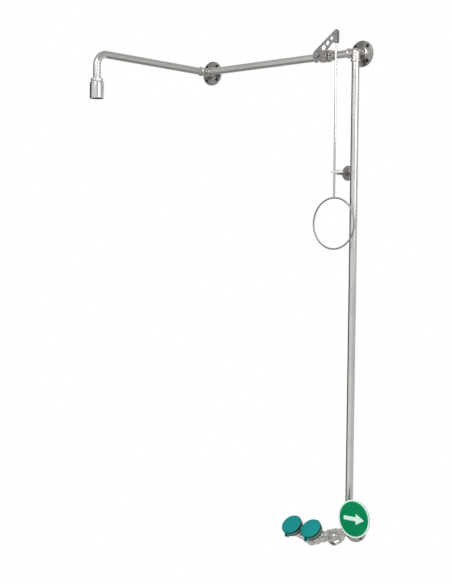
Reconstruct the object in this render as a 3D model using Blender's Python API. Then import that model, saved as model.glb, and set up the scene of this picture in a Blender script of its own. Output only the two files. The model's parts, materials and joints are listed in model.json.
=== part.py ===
"""Wall-mounted body shower with eyewash, built as an assembly of separate pieces.

Frame: the wall is the plane y = 0, the room is at negative y, +X runs to the right along the wall
and +Z is up. The origin is the centre of the supply flange's back face. Units are metres.
"""

import math

import bmesh
import bpy
from mathutils import Matrix, Vector

# Driving dimensions
PIPE_R = 0.011
PIPE_WALL = 0.0015
WALL_OFFSET = 0.033
SPAN = 0.575
HEIGHT = 1.340
REACH = 0.481
GAP = 0.0003

# Round pieces
SIDES = 24
SMALL_SIDES = 16

# Wall flanges
FLANGE_R = 0.037
FLANGE_T = 0.007
FLANGE_NECK_R = 0.0142
FLANGE_NECK_END = 0.0145
FLANGE_HOLE_R = 0.0038
FLANGE_HOLE_CIRCLE_R = 0.029

# Fittings: a plain port and the bead at its mouth
PORT_R = 0.0128
PORT_LENGTH = 0.026
BEAD_R = 0.0143
BEAD_LENGTH = 0.006
SOCKET_R = PIPE_R + GAP
SOCKET_DEPTH = 0.013
WATERWAY_R = 0.009
WALL_PORT_LENGTH = 0.0145
WALL_SOCKET_DEPTH = 0.0045

# Ball valves, measured from the ball's centre
VALVE_HALF = 0.0345
VALVE_END_R = 0.0140
VALVE_BODY_R = 0.0172
VALVE_CAVITY_R = 0.01295
VALVE_SPLIT = 0.016
VALVE_SOCKET_END = 0.020
BALL_R = 0.0115
BALL_BORE_R = 0.0075
SEAT_INNER_R = 0.0083
SEAT_NEAR = 0.0085
SEAT_FAR = 0.0110
BOSS_R = 0.009
BOSS_END = 0.024
STEM_R = 0.005
PIVOT_SCREW_R = 0.004
STEM_COLLAR_R = 0.0075
GLAND_END = 0.0295
LEVER_OFFSET = 0.035
LEVER_T = 0.003
STEM_END = 0.0425
NUT_R = 0.0092

# Shower pull lever, rod and ring
SHOWER_VALVE_X = -0.108
LEVER_LENGTH = 0.086
LEVER_ANGLE = math.radians(39.8)
LEVER_HUB_R = 0.016
LEVER_TIP_R = 0.0095
LEVER_HOLES = ((0.0287, 0.0080), (0.0465, 0.0066), (0.0650, 0.0053))
PULL_Y = -(WALL_OFFSET + LEVER_OFFSET)
PIN_X = SHOWER_VALVE_X + LEVER_LENGTH * math.cos(LEVER_ANGLE)
PIN_Z = LEVER_LENGTH * math.sin(LEVER_ANGLE)
PIN_R = 0.003
FORK_HALF = 0.006
FORK_TOP = 0.0068
FORK_SLOT_DEPTH = 0.0195
FORK_BOTTOM = 0.028
ROD_R = 0.003
RING_CENTRE_Z = -0.476
RING_R = 0.0715
RING_WIRE_R = 0.0025

# Rod guide
GUIDE_Z = -0.332
GUIDE_FLANGE_R = 0.0215
GUIDE_FLANGE_T = 0.005
GUIDE_TUBE_R = 0.007
GUIDE_TUBE_END = 0.053
EYE_SWAY = 0.020
EYE_INNER_R = 0.0045
EYE_OUTER_R = 0.0085
EYE_HALF_T = 0.003

# Shower arm and head
BEND_R = 0.034
DROP_BOTTOM = -0.086
HEAD_BOTTOM = -0.1285
HEAD_R = 0.0204
HEAD_HEIGHT = 0.048
HEAD_NUT_R = 0.0172
HEAD_NUT_HEIGHT = 0.0098

# Eyewash branch
EYE_VALVE_Y = -0.115
TEE_Y = -0.201
NOZZLE_X = 0.033
TILT = math.radians(45)
NOZZLE_DIRECTION = Vector((0, -math.sin(TILT), math.cos(TILT)))
CAP_FACE = 0.069
ARM_JOINT = 0.020
ARM_R = 0.0085
CAP_R = 0.0295
CAP_T = 0.0075
HINGE_OFFSET = 0.0335
HINGE_R = 0.0016

# Push lever: a stirrup under the eyewash valve that carries the push plate
STRAP_HALF = 0.0045
STRAP_T = 0.003
STRAP_DEPTH = 0.0375
STRAP_LOW_X = -0.005
STRAP_SHOULDER = 0.0125
STRAP_BEND_R = 0.009
STRAP_LEFT = -0.029
STRAP_LEAN = math.radians(35)
PLATE_X = 0.0775
PLATE_Z = 0.058
PLATE_R = 0.052
PLATE_T = 0.003
PLATE_BACK_Y = -0.1135
TAB_R = 0.013


def clear_scene():
    for old in list(bpy.data.objects):
        bpy.data.objects.remove(old, do_unlink=True)


def make_material(name, colour, roughness, metallic):
    made = bpy.data.materials.new(name)
    made.use_nodes = True
    shader = made.node_tree.nodes["Principled BSDF"]
    shader.inputs["Base Color"].default_value = (*colour, 1.0)
    shader.inputs["Roughness"].default_value = roughness
    shader.inputs["Metallic"].default_value = metallic
    made.diffuse_color = (*colour, 1.0)
    return made


def new_object(name, mesh, material, place=None):
    """A mesh becomes a named object with outward faces, smooth round sides and its own material."""
    work = bmesh.new()
    work.from_mesh(mesh)
    bmesh.ops.recalc_face_normals(work, faces=work.faces)
    work.to_mesh(mesh)
    work.free()
    mesh.shade_smooth()
    mesh.set_sharp_from_angle(angle=math.radians(35))
    mesh.materials.append(material)
    made = bpy.data.objects.new(name, mesh)
    made.matrix_world = place or Matrix.Identity(4)
    bpy.context.scene.collection.objects.link(made)
    return made


def aimed(origin, direction, twist=0.0):
    """A placement whose local +Z points along direction, twisted about it by an angle."""
    turn = Vector(direction).to_track_quat("Z", "Y").to_matrix().to_4x4()
    return Matrix.Translation(Vector(origin)) @ turn @ Matrix.Rotation(twist, 4, "Z")


def turned(name, profile, place, material, ring=False, sides=SIDES):
    """A solid of revolution about local Z. Profile points are (radius, height).

    A ring's profile is a closed loop off the axis; any other profile starts and ends on the axis.
    """
    mesh = bpy.data.meshes.new(name)
    work = bmesh.new()
    rings = []
    for radius, height in profile:
        if radius == 0:
            rings.append([work.verts.new((0, 0, height))] * sides)
            continue
        turn = 2 * math.pi / sides
        points = [(radius * math.cos(i * turn), radius * math.sin(i * turn), height) for i in range(sides)]
        rings.append([work.verts.new(point) for point in points])
    pairs = list(zip(rings, rings[1:]))
    if ring:
        pairs.append((rings[-1], rings[0]))
    for low, high in pairs:
        for i in range(sides):
            j = (i + 1) % sides
            corners = [low[i], low[j], high[j], high[i]]
            work.faces.new(list(dict.fromkeys(corners)))
    work.to_mesh(mesh)
    work.free()
    return new_object(name, mesh, material, place)


def rod(name, origin, direction, radius, start, end, material, sides=SIDES):
    """A plain cylinder from start to end along direction."""
    profile = [(0, start), (radius, start), (radius, end), (0, end)]
    return turned(name, profile, aimed(origin, direction), material, sides=sides)


def tube(name, origin, direction, outer, inner, start, end, material, sides=SIDES):
    """A hollow cylinder, open at both ends."""
    profile = [(inner, start), (outer, start), (outer, end), (inner, end)]
    return turned(name, profile, aimed(origin, direction), material, ring=True, sides=sides)


def sphere(name, centre, radius, material, sides=SIDES):
    steps = sides // 2
    profile = [
        (radius * math.sin(math.pi * k / steps) if 0 < k < steps else 0, -radius * math.cos(math.pi * k / steps))
        for k in range(steps + 1)
    ]
    return turned(name, profile, Matrix.Translation(Vector(centre)), material, sides=sides)


def prism(name, outline, low, high, place, material):
    """An outline in local X and Y, extruded from low to high along local Z."""
    mesh = bpy.data.meshes.new(name)
    work = bmesh.new()
    bottom = [work.verts.new((x, y, low)) for x, y in outline]
    top = [work.verts.new((x, y, high)) for x, y in outline]
    work.faces.new(bottom[::-1])
    work.faces.new(top)
    for i in range(len(outline)):
        j = (i + 1) % len(outline)
        work.faces.new((bottom[i], bottom[j], top[j], top[i]))
    work.to_mesh(mesh)
    work.free()
    return new_object(name, mesh, material, place)


def arc(centre, radius, first, last, steps):
    """Points on an arc, from one angle to another, both in radians."""
    angles = [first + (last - first) * k / steps for k in range(steps + 1)]
    return [(centre[0] + radius * math.cos(a), centre[1] + radius * math.sin(a)) for a in angles]


def hexagon(radius):
    return arc((0, 0), radius, 0, math.radians(300), 5)


def boolean(target, tool, operation="DIFFERENCE"):
    """Cuts target with tool, or joins them, and takes the tool away."""
    step = target.modifiers.new(operation.title(), "BOOLEAN")
    step.operation = operation
    step.object = tool
    bpy.context.view_layer.update()
    graph = bpy.context.evaluated_depsgraph_get()
    result = bpy.data.meshes.new_from_object(target.evaluated_get(graph))
    target.modifiers.clear()
    result.name = target.name
    result.set_sharp_from_angle(angle=math.radians(35))
    target.data = result
    bpy.data.objects.remove(tool, do_unlink=True)
    return target


def frame_of(x_axis, y_axis, z_axis, origin):
    """A placement from its three local axes and its origin."""
    turn = Matrix((x_axis, y_axis, z_axis)).transposed().to_4x4()
    return Matrix.Translation(Vector(origin)) @ turn


def joint_empty(name, location):
    made = bpy.data.objects.new(name, None)
    made.location = location
    made.empty_display_size = 0.02
    bpy.context.scene.collection.objects.link(made)
    bpy.context.view_layer.update()
    return made


def carry(pivot, pieces):
    """Pieces that turn together hang on the empty that sits on their joint's axis."""
    for piece in pieces:
        piece.parent = pivot
        piece.matrix_parent_inverse = pivot.matrix_world.inverted()


# Fittings


def fitting(name, centre, ports, material):
    """A cast fitting: ports as (direction, length, has_bead), each with a socket and a waterway."""
    body = sphere(name, centre, PORT_R * 1.03, material, sides=16)
    for k, (direction, length, has_bead) in enumerate(ports):
        place = aimed(centre, direction, 0.05 + 0.07 * k)
        slim = PORT_R - 0.0005
        profile = [(0, -0.003), (slim, -0.003), (slim, length), (0, length)]
        if has_bead:
            neck = length - BEAD_LENGTH
            slope = 0.001
            outer = PORT_R - 0.0001 * k
            profile = [
                (0, -0.0005 * k),
                (outer, -0.0005 * k),
                (outer, neck),
                (BEAD_R, neck + slope),
                (BEAD_R, length - slope),
                (BEAD_R - slope, length),
                (0, length),
            ]
        boolean(body, turned("port", profile, place, material, sides=18), "UNION")
    for k, (direction, length, has_bead) in enumerate(ports):
        place = aimed(centre, direction, 0.09 + 0.05 * k)
        socket_start = length - (SOCKET_DEPTH if has_bead else WALL_SOCKET_DEPTH)
        waterway = WATERWAY_R - 0.0004 * k
        profile = [
            (0, -0.002 - 0.001 * k),
            (waterway, -0.002 - 0.001 * k),
            (waterway, socket_start),
            (SOCKET_R, socket_start),
            (SOCKET_R, length + 0.002),
            (0, length + 0.002),
        ]
        boolean(body, turned("bore", profile, place, material, sides=18))
    return body


def wall_flange(name, centre, has_bore, material):
    """A round flange with four fixing holes and a neck; local +Z points into the room."""
    place = aimed(centre, (0, -1, 0))
    chamfer = 0.001
    foot = FLANGE_NECK_R + 0.002
    profile = [
        (0, 0),
        (FLANGE_R, 0),
        (FLANGE_R, FLANGE_T - chamfer),
        (FLANGE_R - chamfer, FLANGE_T),
        (foot, FLANGE_T),
        (FLANGE_NECK_R, FLANGE_T + 0.002),
        (FLANGE_NECK_R, FLANGE_NECK_END),
        (0, FLANGE_NECK_END),
    ]
    body = turned(name, profile, place, material, sides=28)
    for k in range(4):
        angle = math.radians(45 + 90 * k)
        at = place @ Vector((FLANGE_HOLE_CIRCLE_R * math.cos(angle), FLANGE_HOLE_CIRCLE_R * math.sin(angle), 0))
        boolean(body, rod("hole", at, (0, -1, 0), FLANGE_HOLE_R, -0.002, FLANGE_T + 0.002, material, sides=10))
    end = FLANGE_NECK_END + 0.002
    seat = [(SOCKET_R, FLANGE_T), (SOCKET_R, end), (0, end)]
    start = [(0, -0.002), (WATERWAY_R, -0.002), (WATERWAY_R, FLANGE_T)] if has_bore else [(0, FLANGE_T)]
    return boolean(body, turned("bore", start + seat, aimed(centre, (0, -1, 0), 0.05), material))


# Ball valves: local +Z runs along the pipe towards the screwed end, local +X is the stem's axis


def valve_body(name, place, has_trunnion, material):
    profile = [
        (0, -VALVE_HALF),
        (VALVE_END_R, -VALVE_HALF),
        (VALVE_END_R, -0.015),
        (VALVE_BODY_R, -0.012),
        (VALVE_BODY_R, VALVE_SPLIT),
        (0, VALVE_SPLIT),
    ]
    body = turned(name, profile, place, material)
    stem_axis = place.to_3x3() @ Vector((1, 0, 0))
    centre = place.translation
    boolean(body, rod("boss", centre, stem_axis, BOSS_R, 0.010, BOSS_END, material, SMALL_SIDES), "UNION")
    if has_trunnion:
        boolean(body, rod("boss", centre, -stem_axis, BOSS_R, 0.010, BOSS_END, material, SMALL_SIDES), "UNION")
    cavity = [
        (0, -VALVE_HALF - 0.002),
        (SOCKET_R, -VALVE_HALF - 0.002),
        (SOCKET_R, -VALVE_SOCKET_END),
        (WATERWAY_R, -VALVE_SOCKET_END),
        (WATERWAY_R, -SEAT_FAR - GAP),
        (VALVE_CAVITY_R, -SEAT_FAR - GAP),
        (VALVE_CAVITY_R, VALVE_SPLIT + 0.002),
        (0, VALVE_SPLIT + 0.002),
    ]
    boolean(body, turned("cavity", cavity, place, material))
    boolean(body, rod("stem_bore", centre, stem_axis, STEM_R + GAP, 0.005, 0.03, material, SMALL_SIDES))
    if has_trunnion:
        boolean(body, rod("screw_bore", centre, -stem_axis, PIVOT_SCREW_R + GAP, 0.016, 0.03, material, 12))
    return body


def valve_end(name, place, material):
    """The screwed end piece that holds the ball and seats in."""
    near = SEAT_FAR + GAP
    collar = VALVE_SPLIT + GAP
    profile = [
        (WATERWAY_R, near),
        (VALVE_CAVITY_R - GAP, near),
        (VALVE_CAVITY_R - GAP, collar),
        (VALVE_BODY_R - 0.001, collar),
        (VALVE_BODY_R - 0.001, collar + 0.004),
        (VALVE_END_R, collar + 0.006),
        (VALVE_END_R, VALVE_HALF),
        (SOCKET_R, VALVE_HALF),
        (SOCKET_R, VALVE_SOCKET_END),
        (WATERWAY_R, VALVE_SOCKET_END),
    ]
    return turned(name, profile, place, material, ring=True)


def valve_seat(name, place, side, material):
    profile = [
        (SEAT_INNER_R, side * SEAT_NEAR),
        (VALVE_CAVITY_R - GAP, side * SEAT_NEAR),
        (VALVE_CAVITY_R - GAP, side * SEAT_FAR),
        (SEAT_INNER_R, side * SEAT_FAR),
    ]
    return turned(name, profile, place, material, ring=True, sides=20)


def valve_ball(name, place, material):
    """A bored ball, shut: its bore lies across the pipe, and a slot takes the stem's tang."""
    stem_axis = place.to_3x3() @ Vector((1, 0, 0))
    across = place.to_3x3() @ Vector((0, 1, 0))
    reach = math.asin(BALL_BORE_R / BALL_R)
    steps = 8
    turn = (math.pi - 2 * reach) / steps
    profile = [
        (BALL_R * math.sin(reach + turn * k), -BALL_R * math.cos(reach + turn * k)) for k in range(steps + 1)
    ]
    ball = turned(name, profile, aimed(place.translation, across), material, ring=True, sides=20)
    slot = prism(
        "slot",
        [(-0.0022, -0.02), (0.0022, -0.02), (0.0022, 0.02), (-0.0022, 0.02)],
        BALL_R - 0.0018,
        BALL_R + 0.004,
        frame_of(place.to_3x3() @ Vector((0, 0, 1)), -across, stem_axis, place.translation),
        material,
    )
    return boolean(ball, slot)


def valve_stem(name, place, material):
    stem_axis = place.to_3x3() @ Vector((1, 0, 0))
    across = place.to_3x3() @ Vector((0, 1, 0))
    shoulder = LEVER_OFFSET - LEVER_T / 2 - GAP
    start = BALL_R + GAP
    profile = [
        (0, start),
        (STEM_R, start),
        (STEM_R, GLAND_END + GAP),
        (STEM_COLLAR_R, GLAND_END + GAP),
        (STEM_COLLAR_R, shoulder),
        (STEM_R, shoulder),
        (STEM_R, STEM_END),
        (0, STEM_END),
    ]
    stem = turned(name, profile, aimed(place.translation, stem_axis), material, sides=SMALL_SIDES)
    tang = prism(
        "tang",
        [(-0.0018, -0.0040), (0.0018, -0.0040), (0.0018, 0.0040), (-0.0018, 0.0040)],
        BALL_R - 0.0014,
        start + 0.002,
        frame_of(place.to_3x3() @ Vector((0, 0, 1)), -across, stem_axis, place.translation),
        material,
    )
    return boolean(stem, tang, "UNION")


def nut(name, centre, axis, outer, bore, start, end, material):
    """A hexagon nut along an axis, with a plain bore."""
    body = prism(name, hexagon(outer), start, end, aimed(centre, axis), material)
    return boolean(body, rod("bore", centre, axis, bore, start - 0.002, end + 0.002, material, SMALL_SIDES))


def ball_valve(prefix, place, has_trunnion, steel, bright, seat_material):
    """A whole valve. The stem, ball and lever nut are given back, because they turn with the lever."""
    centre = place.translation
    stem_axis = place.to_3x3() @ Vector((1, 0, 0))
    valve_body(prefix + "_valve_body", place, has_trunnion, steel)
    valve_end(prefix + "_valve_end_piece", place, steel)
    valve_seat(prefix + "_valve_seat_a", place, -1, seat_material)
    valve_seat(prefix + "_valve_seat_b", place, 1, seat_material)
    bore = STEM_R + GAP
    nut(prefix + "_gland_nut", centre, stem_axis, NUT_R, bore, BOSS_END + GAP, GLAND_END, bright)
    ball = valve_ball(prefix + "_valve_ball", place, bright)
    stem = valve_stem(prefix + "_valve_stem", place, bright)
    face = LEVER_OFFSET + LEVER_T / 2 + GAP
    lever_nut = nut(prefix + "_lever_nut", centre, stem_axis, NUT_R, bore, face, face + 0.005, bright)
    return [ball, stem, lever_nut]


# Shower side


def lever_outline():
    """The pull lever about its pivot: a hub circle and a tip circle joined by their tangents."""
    lean = math.asin((LEVER_HUB_R - LEVER_TIP_R) / LEVER_LENGTH)
    quarter = math.pi / 2
    hub = arc((0, 0), LEVER_HUB_R, quarter - lean, 3 * quarter + lean, 10)
    tip = arc((LEVER_LENGTH, 0), LEVER_TIP_R, -quarter + lean, quarter - lean, 8)
    return hub + tip


def pull_lever(material):
    """The flat lever in its plane parallel to the wall, with three lightening holes."""
    along = Vector((math.cos(LEVER_ANGLE), 0, math.sin(LEVER_ANGLE)))
    towards_room = Vector((0, -1, 0))
    pivot = Vector((SHOWER_VALVE_X, PULL_Y, 0))
    place = frame_of(along, towards_room.cross(along), towards_room, pivot)
    lever = prism("pull_lever", lever_outline(), -LEVER_T / 2, LEVER_T / 2, place, material)
    holes = [(0, STEM_R + GAP, 16), (LEVER_LENGTH, PIN_R + GAP, 12)]
    holes += [(distance, radius, 20) for distance, radius in LEVER_HOLES]
    for distance, radius, sides in holes:
        boolean(lever, rod("hole", pivot + along * distance, towards_room, radius, -0.01, 0.01, material, sides))
    return lever


def rod_fork(material):
    """The fork head that straddles the lever's tip and carries the rod."""
    centre = Vector((PIN_X, PULL_Y, PIN_Z))
    outline = [(-FORK_HALF, -FORK_BOTTOM), (FORK_HALF, -FORK_BOTTOM)]
    outline += arc((0, 0), FORK_TOP, math.radians(28), math.radians(152), 8)
    place = frame_of((1, 0, 0), (0, 0, 1), (0, -1, 0), centre)
    fork = prism("rod_fork", outline, -FORK_HALF, FORK_HALF, place, material)
    slot_half = LEVER_T / 2 + GAP
    slot = [(-0.02, -FORK_SLOT_DEPTH), (0.02, -FORK_SLOT_DEPTH), (0.02, 0.02), (-0.02, 0.02)]
    boolean(fork, prism("slot", slot, -slot_half, slot_half, place, material))
    boolean(fork, rod("pin_bore", centre, (0, -1, 0), PIN_R + GAP, -0.01, 0.01, material, 12))
    mouth = FORK_BOTTOM + 0.002
    boolean(fork, rod("rod_bore", centre, (0, 0, -1), ROD_R + GAP, FORK_BOTTOM - 0.006, mouth, material, 12))
    return fork


def fork_pin(material):
    profile = [
        (0, -0.0075),
        (PIN_R, -0.0075),
        (PIN_R, FORK_HALF + GAP),
        (0.0045, FORK_HALF + GAP),
        (0.0045, FORK_HALF + 0.002),
        (0, FORK_HALF + 0.002),
    ]
    return turned("fork_pin", profile, aimed((PIN_X, PULL_Y, PIN_Z), (0, -1, 0)), material, sides=12)


def pin_clip(material):
    centre = (PIN_X, PULL_Y, PIN_Z)
    return tube("fork_pin_clip", centre, (0, 1, 0), 0.0048, PIN_R + GAP, 0.0063, 0.0073, material, sides=12)


def pull_rod(material):
    top = PIN_Z - FORK_BOTTOM + 0.0057
    bottom = RING_CENTRE_Z + RING_R + RING_WIRE_R + GAP
    return rod("pull_rod", (PIN_X, PULL_Y, 0), (0, 0, 1), ROD_R, bottom, top, material, sides=12)


def pull_ring(material):
    """The round hand ring, a closed loop of wire parallel to the wall."""
    sides = 8
    turn = 2 * math.pi / sides
    profile = [
        (RING_R + RING_WIRE_R * math.cos(k * turn), RING_WIRE_R * math.sin(k * turn)) for k in range(sides)
    ]
    place = aimed((PIN_X, PULL_Y, RING_CENTRE_Z), (0, -1, 0))
    return turned("pull_ring", profile, place, material, ring=True, sides=40)


def rod_guide(steel, eye_material):
    """A small flange, a stand-off tube, and an eye long enough for the rod's sway."""
    base = (PIN_X, 0, GUIDE_Z)
    chamfer = 0.001
    profile = [
        (0, 0),
        (GUIDE_FLANGE_R, 0),
        (GUIDE_FLANGE_R, GUIDE_FLANGE_T - chamfer),
        (GUIDE_FLANGE_R - chamfer, GUIDE_FLANGE_T),
        (0, GUIDE_FLANGE_T),
    ]
    flange = turned("guide_flange", profile, aimed(base, (0, -1, 0)), steel, sides=28)
    for side in (-1, 1):
        at = (PIN_X, 0, GUIDE_Z + side * 0.0145)
        boolean(flange, rod("hole", at, (0, -1, 0), 0.0022, -0.002, 0.01, steel, sides=10))
    start = GUIDE_FLANGE_T + GAP
    tube("guide_tube", base, (0, -1, 0), GUIDE_TUBE_R, 0.0050, start, GUIDE_TUBE_END, steel, SMALL_SIDES)

    half_turn = math.pi / 2
    place = Matrix.Translation((PIN_X, PULL_Y, GUIDE_Z))
    ends = [((EYE_SWAY, 0), -half_turn, half_turn), ((0, 0), half_turn, 3 * half_turn)]
    outer = [point for centre, first, last in ends for point in arc(centre, EYE_OUTER_R, first, last, 10)]
    inner = [point for centre, first, last in ends for point in arc(centre, EYE_INNER_R, first, last, 8)]
    eye = prism("guide_eye", outer, -EYE_HALF_T, EYE_HALF_T, place, eye_material)
    shank_end = -PULL_Y - EYE_INNER_R - 0.002
    shank = rod("shank", base, (0, -1, 0), 0.0046, GUIDE_TUBE_END - 0.012, shank_end, eye_material, 12)
    boolean(eye, shank, "UNION")
    return boolean(eye, prism("slot", inner, -0.01, 0.01, place, eye_material))


def shower_arm(material):
    """A tube that runs out from the wall and turns down through a quarter bend."""
    bend_y = -(REACH - BEND_R)
    bend_steps = 8
    start_y = -(WALL_OFFSET + PORT_LENGTH - SOCKET_DEPTH) - GAP
    stations = [((start_y, 0), 0.0)]
    for k in range(bend_steps + 1):
        angle = math.pi / 2 * k / bend_steps
        point = (bend_y - BEND_R * math.sin(angle), -BEND_R * (1 - math.cos(angle)))
        stations.append((point, angle))
    stations.append(((-REACH, DROP_BOTTOM), math.pi / 2))
    mesh = bpy.data.meshes.new("shower_arm")
    work = bmesh.new()
    sides = SIDES
    loops = {}
    for radius in (PIPE_R, PIPE_R - PIPE_WALL):
        loops[radius] = []
        for (y, z), angle in stations:
            outward = Vector((0, -math.sin(angle), math.cos(angle)))
            circle = []
            for i in range(sides):
                a = 2 * math.pi * i / sides
                offset = Vector((1, 0, 0)) * math.cos(a) + outward * math.sin(a)
                circle.append(work.verts.new(Vector((-SPAN, y, z)) + offset * radius))
            loops[radius].append(circle)
    skins = [list(zip(circles, circles[1:])) for circles in loops.values()]
    outer, inner = loops.values()
    pairs = skins[0] + skins[1] + [(outer[0], inner[0]), (outer[-1], inner[-1])]
    for low, high in pairs:
        for i in range(sides):
            j = (i + 1) % sides
            work.faces.new((low[i], low[j], high[j], high[i]))
    work.to_mesh(mesh)
    work.free()
    return new_object("shower_arm", mesh, material)


def shower_head(bright, dark):
    """The nut, the shell, the regulator inside it and the spray plate at its mouth."""
    place = Matrix.Translation((-SPAN, -REACH, HEAD_BOTTOM))
    shell_wall = 0.002
    inner = HEAD_R - shell_wall
    roof = HEAD_HEIGHT - 0.006
    lip = 0.0025
    profile = [
        (inner, 0.0005),
        (HEAD_R - 0.001, 0),
        (HEAD_R, lip),
        (HEAD_R, HEAD_HEIGHT - 0.003),
        (HEAD_NUT_R + 0.0008, HEAD_HEIGHT),
        (SOCKET_R, HEAD_HEIGHT),
        (SOCKET_R, roof),
        (inner, roof),
    ]
    turned("shower_head_shell", profile, place, bright, ring=True, sides=32)
    nut_profile = [
        (SOCKET_R, HEAD_HEIGHT + GAP),
        (HEAD_NUT_R, HEAD_HEIGHT + GAP),
        (HEAD_NUT_R, HEAD_HEIGHT + HEAD_NUT_HEIGHT - 0.0012),
        (HEAD_NUT_R - 0.0015, HEAD_HEIGHT + HEAD_NUT_HEIGHT),
        (SOCKET_R, HEAD_HEIGHT + HEAD_NUT_HEIGHT),
    ]
    turned("shower_head_nut", nut_profile, place, bright, ring=True)
    bore = WATERWAY_R - 0.003
    disc_r = inner - GAP
    tube("flow_regulator", place.translation, (0, 0, 1), disc_r, bore, 0.030, 0.036, dark, sides=20)
    plate = turned("spray_plate", [(0, 0.003), (disc_r, 0.003), (disc_r, 0.006), (0, 0.006)], place, dark)
    for count, radius in ((5, 0.0055), (10, 0.0125)):
        for k in range(count):
            angle = 2 * math.pi * (k / count + 0.02)
            at = place @ Vector((radius * math.cos(angle), radius * math.sin(angle), 0))
            boolean(plate, rod("jet", at, (0, 0, 1), 0.0012, 0, 0.01, dark, sides=6))
    return plate


# Eyewash side


def arm_joint(side):
    """The point on a nozzle's axis where its arm meets it."""
    return Vector((side * NOZZLE_X, TEE_Y, -HEIGHT)) + NOZZLE_DIRECTION * ARM_JOINT


def manifold(material):
    """The piece that splits the branch in two: one port to the wall, two slanting up to the heads."""
    centre = Vector((0, TEE_Y, -HEIGHT))
    body = fitting("eyewash_tee", centre, [((0, 1, 0), PORT_LENGTH, True)], material)
    for side in (-1, 1):
        slant = aimed(centre, arm_joint(side) - centre, 0.07)
        port = [(0, 0.001), (0.0112, 0.001), (0.0112, 0.0190), (0, 0.0190)]
        boolean(body, turned("port", port, slant, material, sides=18), "UNION")
    for side in (-1, 1):
        slant = aimed(centre, arm_joint(side) - centre, 0.11)
        socket = ARM_R + GAP
        bore = [(0, 0.0005), (0.0062, 0.0005), (0.0062, 0.0135), (socket, 0.0135), (socket, 0.03), (0, 0.03)]
        boolean(body, turned("bore", bore, slant, material, sides=18))
    return body


def nozzle_arm(name, side, material):
    """The slim arm from the manifold up to one spray head, with the collar the head screws into."""
    joint = arm_joint(side)
    centre = Vector((0, TEE_Y, -HEIGHT))
    inward = centre - joint
    reach = inward.length - 0.0135 - GAP
    body = sphere(name, joint, ARM_R * 1.03, material, sides=16)
    boolean(body, rod("arm", joint, inward, ARM_R, 0, reach, material, 18), "UNION")
    outlet = [(0, -0.001), (ARM_R - 0.0002, -0.001), (ARM_R - 0.0002, 0.0060), (0.0125, 0.0075)]
    outlet += [(0.0125, 0.0155), (0, 0.0155)]
    boolean(body, turned("outlet", outlet, aimed(joint, NOZZLE_DIRECTION, 0.06), material, sides=18), "UNION")
    boolean(body, rod("waterway", joint, inward, 0.0060, -0.001, 0.05, material, 18))
    bore = [(0, -0.002), (0.0056, -0.002), (0.0056, 0.0085), (0.0103, 0.0085), (0.0103, 0.03), (0, 0.03)]
    boolean(body, turned("outlet_bore", bore, aimed(joint, NOZZLE_DIRECTION, 0.11), material, sides=18))
    return body


def spray_nozzle(suffix, side, head_material, bright):
    """The green cup, its perforated disc and the hinge lug for the dust cap."""
    centre = Vector((side * NOZZLE_X, TEE_Y, -HEIGHT))
    place = aimed(centre, NOZZLE_DIRECTION)
    rim = CAP_FACE - CAP_T - GAP
    inner_r = CAP_R - 0.0045
    profile = [
        (0.0065, 0.0290),
        (0.0100, 0.0290),
        (0.0100, 0.0390),
        (0.0150, 0.0415),
        (CAP_R - 0.0022, 0.0480),
        (CAP_R - 0.0015, 0.0500),
        (CAP_R - 0.0015, rim),
        (inner_r, rim),
        (inner_r, 0.0520),
        (0.0120, 0.0455),
        (0.0065, 0.0430),
    ]
    cup = turned("spray_head_" + suffix, profile, place, head_material, ring=True)
    downhill = Vector((0, -math.cos(TILT), -math.sin(TILT)))
    hinge = centre + NOZZLE_DIRECTION * (rim - 0.0020) + downhill * HINGE_OFFSET
    half = 0.0030
    web = [(-0.0085, -0.0022), (0.0024, -0.0022), (0.0024, 0.0018), (-0.0085, 0.0018)]
    lug_place = frame_of(downhill, NOZZLE_DIRECTION, downhill.cross(NOZZLE_DIRECTION), hinge)
    boolean(cup, prism("lug", web, -half, half, lug_place, head_material), "UNION")
    boolean(cup, rod("pin_bore", hinge, (1, 0, 0), HINGE_R + 0.0001, -0.01, 0.01, head_material, 12))
    disc = tube("aerator_" + suffix, centre, NOZZLE_DIRECTION, inner_r - GAP, 0.0040, 0.0525, 0.0540, bright)
    for k in range(8):
        angle = math.pi * (k + 0.17) / 4
        at = place @ Vector((0.014 * math.cos(angle), 0.014 * math.sin(angle), 0))
        boolean(disc, rod("jet", at, NOZZLE_DIRECTION, 0.0018, 0.04, 0.06, bright, sides=8))
    return hinge, downhill


def dust_cap(suffix, side, hinge, downhill, cap_material, pin_material):
    """The domed cap with two hinge ears either side of the lug, and its pin."""
    centre = Vector((side * NOZZLE_X, TEE_Y, -HEIGHT))
    place = aimed(centre, NOZZLE_DIRECTION)
    low = CAP_FACE - CAP_T
    profile = [
        (0, low + 0.0020),
        (CAP_R - 0.0030, low + 0.0020),
        (CAP_R - 0.0030, low),
        (CAP_R, low),
        (CAP_R, CAP_FACE - 0.0025),
        (CAP_R - 0.0015, CAP_FACE - 0.0008),
        (CAP_R * 0.6, CAP_FACE),
        (0, CAP_FACE + 0.0006),
    ]
    cap = turned("dust_cap_" + suffix, profile, place, cap_material, sides=28)
    ear_place = frame_of(downhill, NOZZLE_DIRECTION, downhill.cross(NOZZLE_DIRECTION), hinge)
    ear = [(-0.0042, -0.0010), (-0.0030, -0.0024), (0.0014, -0.0024), (0.0026, -0.0012), (0.0026, 0.0030)]
    ear += [(-0.0033, 0.0066), (-0.0060, 0.0066), (-0.0060, 0.0030), (-0.0042, 0.0030)]
    for near, far in ((0.0034, 0.0060), (-0.0060, -0.0034)):
        boolean(cap, prism("ear", ear, near, far, ear_place, cap_material), "UNION")
    boolean(cap, rod("pin_bore", hinge, (1, 0, 0), HINGE_R + 0.0001, -0.01, 0.01, cap_material, 12))
    pin = rod("cap_pin_" + suffix, hinge, (1, 0, 0), HINGE_R - 0.0002, -0.0064, 0.0064, pin_material, 10)
    return [cap, pin]


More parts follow.
